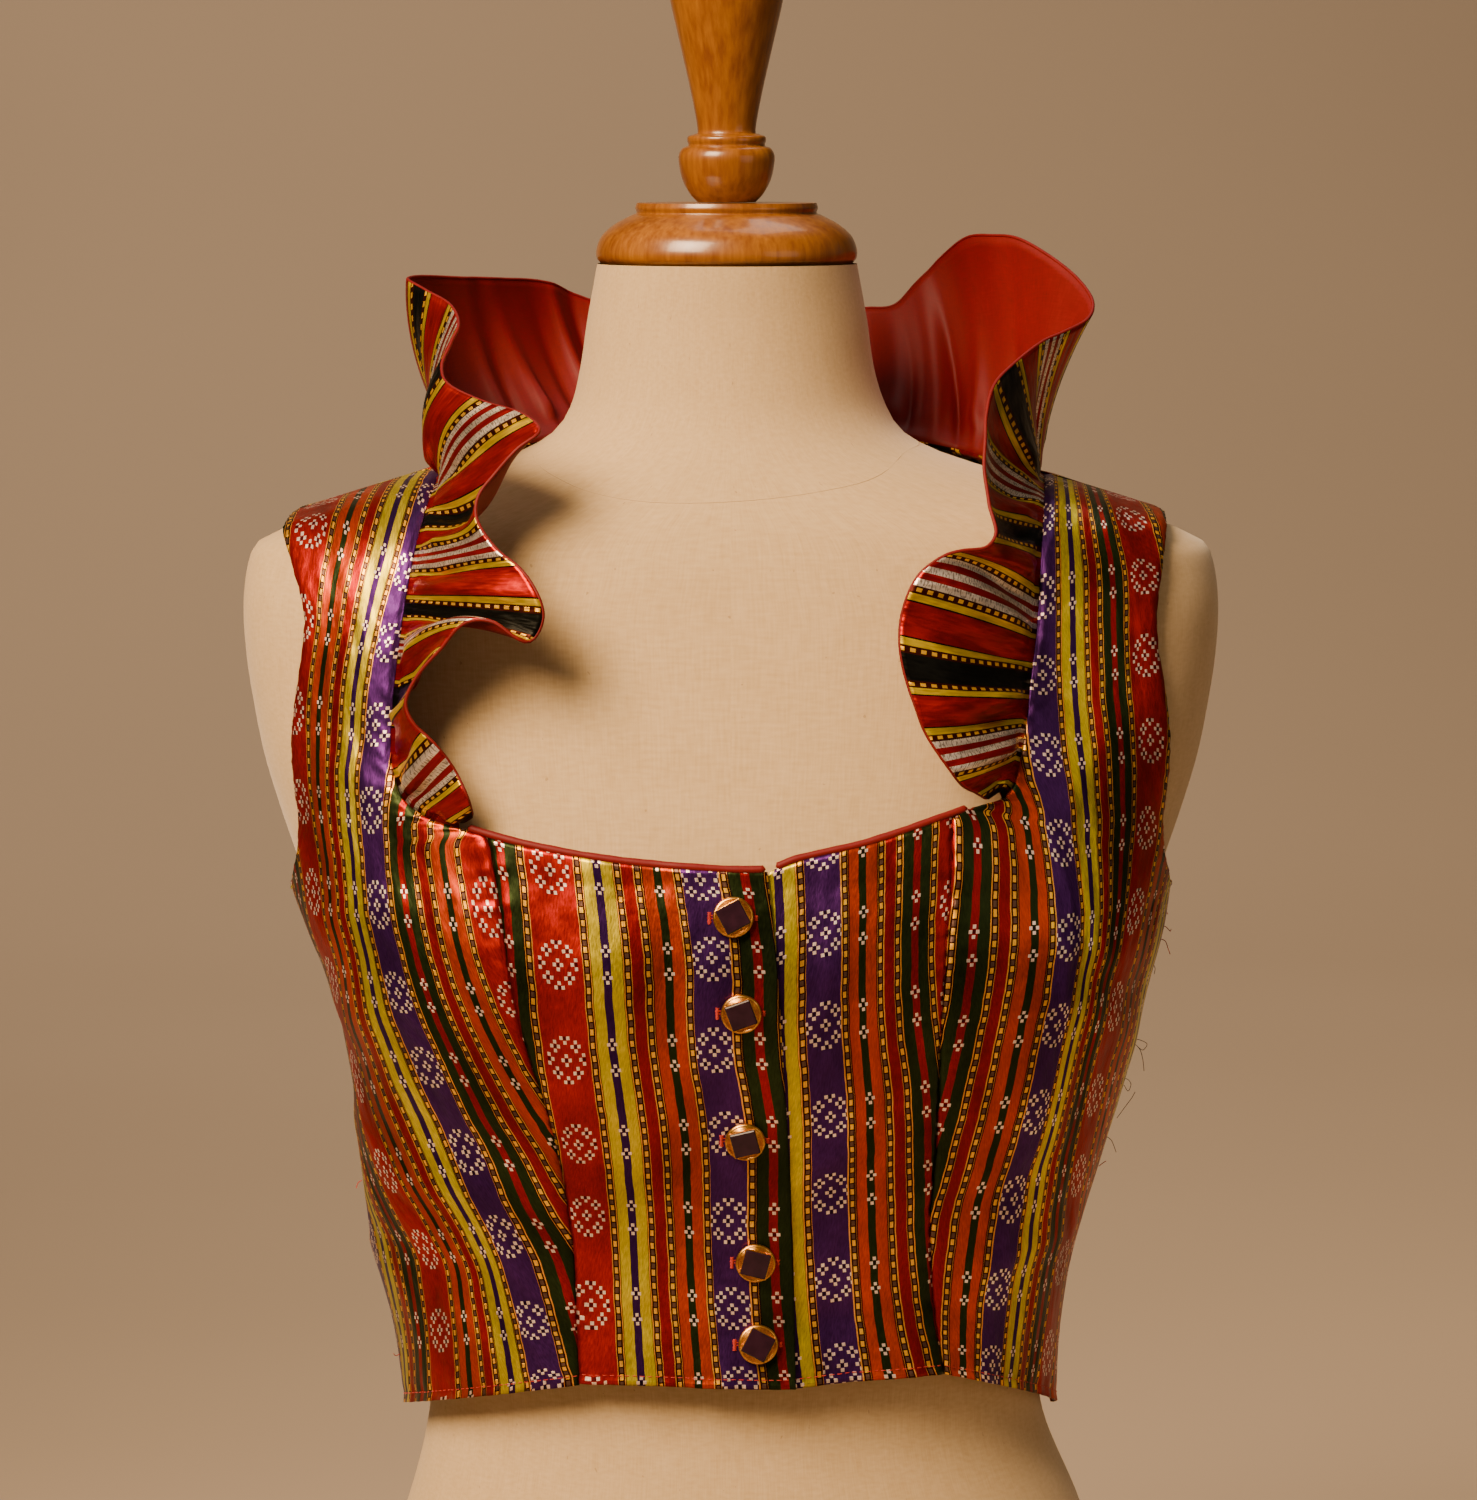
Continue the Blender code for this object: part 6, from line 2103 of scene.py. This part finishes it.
@dataclass
class ButtonSet:
    """Five shank buttons: ribbed gilt disc, raised square setting and a dark flat stone."""

    metal: bpy.types.Material
    stone: bpy.types.Material
    radius: float = 7.75
    thickness: float = 2.4
    stand_off: float = 0.3
    stone_side: float = 10.0
    setting_side: float = 10.6

    def disc(self) -> bpy.types.Object:
        """Disc with fine rings on its face and the square setting on it, made round the origin."""
        profile = [(self.radius - 1.6, 0.0), (self.radius - 0.5, 0.45), (self.radius - 0.05, 1.1),
                   (self.radius, 1.5), (self.radius - 0.15, 2.0), (self.radius - 0.5, 2.3),
                   (self.radius - 0.8, self.thickness)]
        ring = self.radius - 0.95
        while ring > 4.4:
            profile += [(ring, self.thickness - 0.14), (ring - 0.16, self.thickness)]
            ring -= 0.34
        profile += [(4.0, self.thickness), (1.0, self.thickness)]
        piece = turned("button_disc_model", profile, 0.0, 0.0, 72, self.metal)
        deselect()
        bpy.ops.mesh.primitive_cube_add(size=1.0, location=(0.0, 0.0, (self.thickness + 0.55) * MM))
        setting = bpy.context.object
        side = self.setting_side * MM
        setting.scale = (side, side, 1.1 * MM)
        bpy.ops.object.transform_apply(location=True, rotation=False, scale=True)
        top = max(setting.data.polygons, key=lambda face: face.center.z)
        for face in setting.data.polygons:
            face.select = face.index == top.index
        bpy.ops.object.mode_set(mode="EDIT")
        bpy.ops.mesh.select_mode(type="FACE")
        bpy.ops.mesh.inset(thickness=0.32 * MM)
        bpy.ops.transform.translate(value=(0.0, 0.0, -0.45 * MM))
        bpy.ops.object.mode_set(mode="OBJECT")
        bevel = setting.modifiers.new("bevel", "BEVEL")
        bevel.width = 0.10 * MM
        bevel.segments = 2
        bpy.ops.object.modifier_apply(modifier=bevel.name)
        setting.data.materials.append(self.metal)
        return piece

    def gem(self) -> bpy.types.Object:
        """Flat square stone with cut edges, made round the origin."""
        deselect()
        bpy.ops.mesh.primitive_cube_add(size=1.0)
        piece = bpy.context.object
        piece.name = "button_stone_model"
        piece.scale = (self.stone_side * MM, self.stone_side * MM, 1.1 * MM)
        bpy.ops.object.transform_apply(location=False, rotation=False, scale=True)
        bevel = piece.modifiers.new("cut", "BEVEL")
        bevel.width = 0.4 * MM
        bevel.segments = 1
        bpy.ops.object.modifier_apply(modifier=bevel.name)
        piece.data.materials.append(self.stone)
        return piece

    def placed(self, model: bpy.types.Mesh, name: str, x: float, height: float, lift: float,
               turn: float) -> bpy.types.Object:
        """Copy of a model with its place on the vest in its mesh."""
        point = vest_point(x, height)
        out = surface_normal(point)
        side = Vector((0.0, 0.0, 1.0)).cross(out).normalized()
        up = out.cross(side).normalized()
        facing = Matrix((side, up, out)).transposed().to_4x4()
        centre = point + out * (lap_raise(x, height) + SEAM_GAP + lift)
        centre.y += ORIGIN_SHIFT_Y
        mesh = model.copy()
        mesh.name = name
        mesh.transform(Matrix.Translation(centre * MM) @ facing @ Matrix.Rotation(turn, 4, "Z"))
        piece = bpy.data.objects.new(name, mesh)
        bpy.context.scene.collection.objects.link(piece)
        return piece

    def build(self) -> None:
        """Place five copies of the two models."""
        disc = self.disc()
        setting = bpy.context.object
        gem = self.gem()
        take(setting)
        disc.select_set(True)
        bpy.context.view_layer.objects.active = disc
        for number, (x, height, degrees) in enumerate(BUTTONS, start=1):
            turn = math.radians(degrees)
            face = self.placed(disc.data, f"button_{number}_gilt", x, height, self.stand_off, turn)
            square = self.placed(setting.data, f"button_{number}_setting", x, height, self.stand_off, turn)
            stone = self.placed(gem.data, f"button_{number}_gem", x, height,
                                self.stand_off + self.thickness + 0.85, turn)
            deselect()
            square.select_set(True)
            face.select_set(True)
            bpy.context.view_layer.objects.active = face
            bpy.ops.object.join()
            for piece, node, slot in ((face, f"button_{number}_disc", "gilt_metal"),
                                      (stone, f"button_{number}_stone", "dark_stone")):
                settle(piece, node)
        for model in (disc, setting, gem):
            bpy.data.objects.remove(model, do_unlink=True)


@dataclass
class Needlework:
    """Stitches that show: the hem's top-stitching and the bars at the ends of the buttonholes."""

    body: VestBody
    red: bpy.types.Material
    dark: bpy.types.Material
    stitch: float = 1.9
    pitch: float = 3.0

    def hem_line(self, panel: Panel) -> tuple[np.ndarray, np.ndarray]:
        """Points and normals along the stitch line of a panel's hem."""
        grid = panel.final
        normals = grid_normals(grid)
        up = arc_lengths(grid, 0)
        points, outs = [], []
        for c in range(grid.shape[1]):
            points.append([np.interp(HEM_STITCH, up[:, c], grid[:, c, a]) for a in range(3)])
            row = int(np.searchsorted(up[:, c], HEM_STITCH))
            outs.append(normals[row, c])
        return np.array(points), np.array(outs)

    def build(self) -> None:
        """Sew the hem and the buttonholes."""
        lines = []
        for panel in self.body.panels.values():
            points, outs = self.hem_line(panel)
            lengths = run_lengths(points)
            place = 1.0
            while place + self.stitch < lengths[-1] - 0.5:
                line = []
                for share, lift in STITCH_ARCH:
                    at = place + share * self.stitch
                    point = np.array([np.interp(at, lengths, points[:, a]) for a in range(3)])
                    out = np.array([np.interp(at, lengths, outs[:, a]) for a in range(3)])
                    line.append(Vector(point + out * lift))
                lines.append(line)
                place += self.pitch + STITCH_CHANGE * wander(place, panel.seed)
        settle(thread("hem_topstitch", lines, HEM_THREAD_RADIUS, self.red))
        self.buttonholes()
        for name, loose, radius, material in (("dark_loose_ends", DARK_FRAY, DARK_END_RADIUS, self.dark),
                                              ("red_loose_ends", RED_FRAY, RED_END_RADIUS, self.red)):
            settle(thread(name, [soft_line(line, 5) for line in loose], radius, material))

    def buttonholes(self) -> None:
        """Red bars at both ends of every buttonhole and the stitched slit between them."""
        lines = []
        for number, (x, height, _) in enumerate(BUTTONS):
            for side, tall in BARS:
                for step in range(int(tall / BAR_PITCH)):
                    z = height - tall / 2.0 + step * BAR_PITCH
                    half = BAR_HALF + BAR_CHANGE * wander(step * 2.1, number * 1.3 + side)
                    lines.append([over_lap(x + side + share * half, z, lift) for share, lift in BAR_ARCH])
            for edge in (-SLIT_HALF, SLIT_HALF):
                line = []
                for step in range(SLIT_POINTS):
                    z = height + edge + SLIT_CHANGE * wander(step * 1.9, number)
                    line.append(over_lap(x + BARS[0][0] + step * SLIT_PITCH, z, SLIT_LIFT))
                lines.append(line)
        settle(thread("buttonhole_stitches", lines, BAR_THREAD_RADIUS, self.red))


@dataclass(frozen=True)
class LightSetting:
    """Area light: its place, what it looks at, size, power and colour."""

    name: str
    place: tuple[float, float, float]
    size: float
    power: float
    colour: str
    spread: float = 180.0
    target: tuple[float, float, float] = (0.0, 0.0, 0.50)


@dataclass
class Studio:
    """Pale floor and backdrop, soft lights and the camera of the photograph."""

    lights: tuple[LightSetting, ...] = (
        LightSetting("key_light", (-1.15, -1.45, 2.0), 1.3, 27.0, "ffdab0", 60.0),
        LightSetting("fill_light", (1.9, -1.6, 0.9), 1.4, 6.0, "ffe2c6"),
        LightSetting("top_light", (0.2, 0.6, 2.2), 1.0, 8.0, "fff0e0"),
        LightSetting("wall_light", (-0.6, 2.6, 3.0), 2.0, 64.0, "ffe2c4", 150.0, (-0.3, 4.4, 0.2)),
    )
    target: tuple[float, float, float] = (0.003, 0.0049, 0.503)
    distance: float = 2.4
    pitch: float = 6.0
    lens: float = 144.0
    half_width: float = 7.0
    bend_start: float = 3.0
    bend_radius: float = 2.2
    wall_top: float = 5.0

    def backdrop(self) -> None:
        """Floor that curves up into a wall behind the form."""
        start, radius = self.bend_start, self.bend_radius
        profile = [(-self.half_width, 0.0), (start, 0.0)]
        profile += [(start + radius * math.sin(math.radians(a)), radius - radius * math.cos(math.radians(a)))
                    for a in range(6, 91, 6)]
        profile += [(start + radius, self.wall_top)]
        verts = [(x, y, z) for y, z in profile for x in (-self.half_width, self.half_width)]
        faces = [(2 * i, 2 * i + 1, 2 * i + 3, 2 * i + 2) for i in range(len(profile) - 1)]
        mesh = bpy.data.meshes.new("studio_floor")
        mesh.from_pydata(verts, [], faces)
        mesh.shade_smooth()
        floor = bpy.data.objects.new("studio_floor", mesh)
        bpy.context.scene.collection.objects.link(floor)
        recipe = Recipe("pale_paper")
        recipe.read_place()
        recipe.noise("cloud", "place", 0.8, 2.0)
        recipe.follow((("tone", "Mix:MIX", "cloud", hex_colour("a4937e"), hex_colour("b2a08a")),))
        mesh.materials.append(recipe.finish("tone", 0.9))

    def build(self) -> None:
        """Make the stage, the lights, the world and the camera."""
        self.backdrop()
        scene = bpy.context.scene
        for setting in self.lights:
            data = bpy.data.lights.new(setting.name, "AREA")
            data.size = setting.size
            data.energy = setting.power
            data.color = hex_colour(setting.colour)[:3]
            data.spread = math.radians(setting.spread)
            lamp = bpy.data.objects.new(setting.name, data)
            lamp.location = setting.place
            aim = Vector(setting.target) - Vector(setting.place)
            lamp.rotation_euler = aim.to_track_quat("-Z", "Y").to_euler()
            scene.collection.objects.link(lamp)
        world = bpy.data.worlds.new("studio_air")
        world.use_nodes = True
        sky = world.node_tree.nodes["Background"]
        sky.inputs["Color"].default_value = hex_colour("d8c8b4")
        sky.inputs["Strength"].default_value = 0.16
        scene.world = world
        data = bpy.data.cameras.new("photo_camera")
        data.lens = self.lens
        data.sensor_width = 36.0
        data.clip_end = 50.0
        camera = bpy.data.objects.new("photo_camera", data)
        angle = math.radians(self.pitch)
        away = Vector((0.0, -math.cos(angle), math.sin(angle)))
        camera.location = Vector(self.target) + away * self.distance
        camera.rotation_euler = (math.radians(90.0) - angle, 0.0, 0.0)
        scene.collection.objects.link(camera)
        scene.camera = camera


def main() -> None:
    """Build the vest, the form under it and the studio."""
    logging.basicConfig(level=logging.INFO, format="%(name)s %(message)s")
    satin = VestSatin().build()
    ribbon = RibbonSatin().build()
    red = PlainWeave("red_satin_lining", "760308", "580205", 1800.0, 1300.0, 0.6, 0.0, 0.1).build()
    jersey = PlainWeave("cream_jersey", "cab088", "b09464", 1500.0, 700.0, 0.85, 0.25, 0.35, "7c6038").build()
    red_thread = PlainWeave("red_thread", "c22a1c", "8a140e", 3000.0, 3000.0, 0.6, 0.2, 0.2).build()
    dark_thread = PlainWeave("dark_thread", "5e4c3c", "382a20", 3000.0, 3000.0, 0.7, 0.2, 0.2).build()
    wood = VarnishedWood().build()
    body = VestBody(satin)
    body.build()
    CollarRuffle(body, ribbon, red).build()
    NeckBindings(red).build()
    DressForm(jersey).build()
    StandWood(wood).build()
    ButtonSet(GiltMetal().build(), DarkStone().build()).build()
    Needlework(body, red_thread, dark_thread).build()
    Studio().build()


if __name__ == "__main__":
    main()
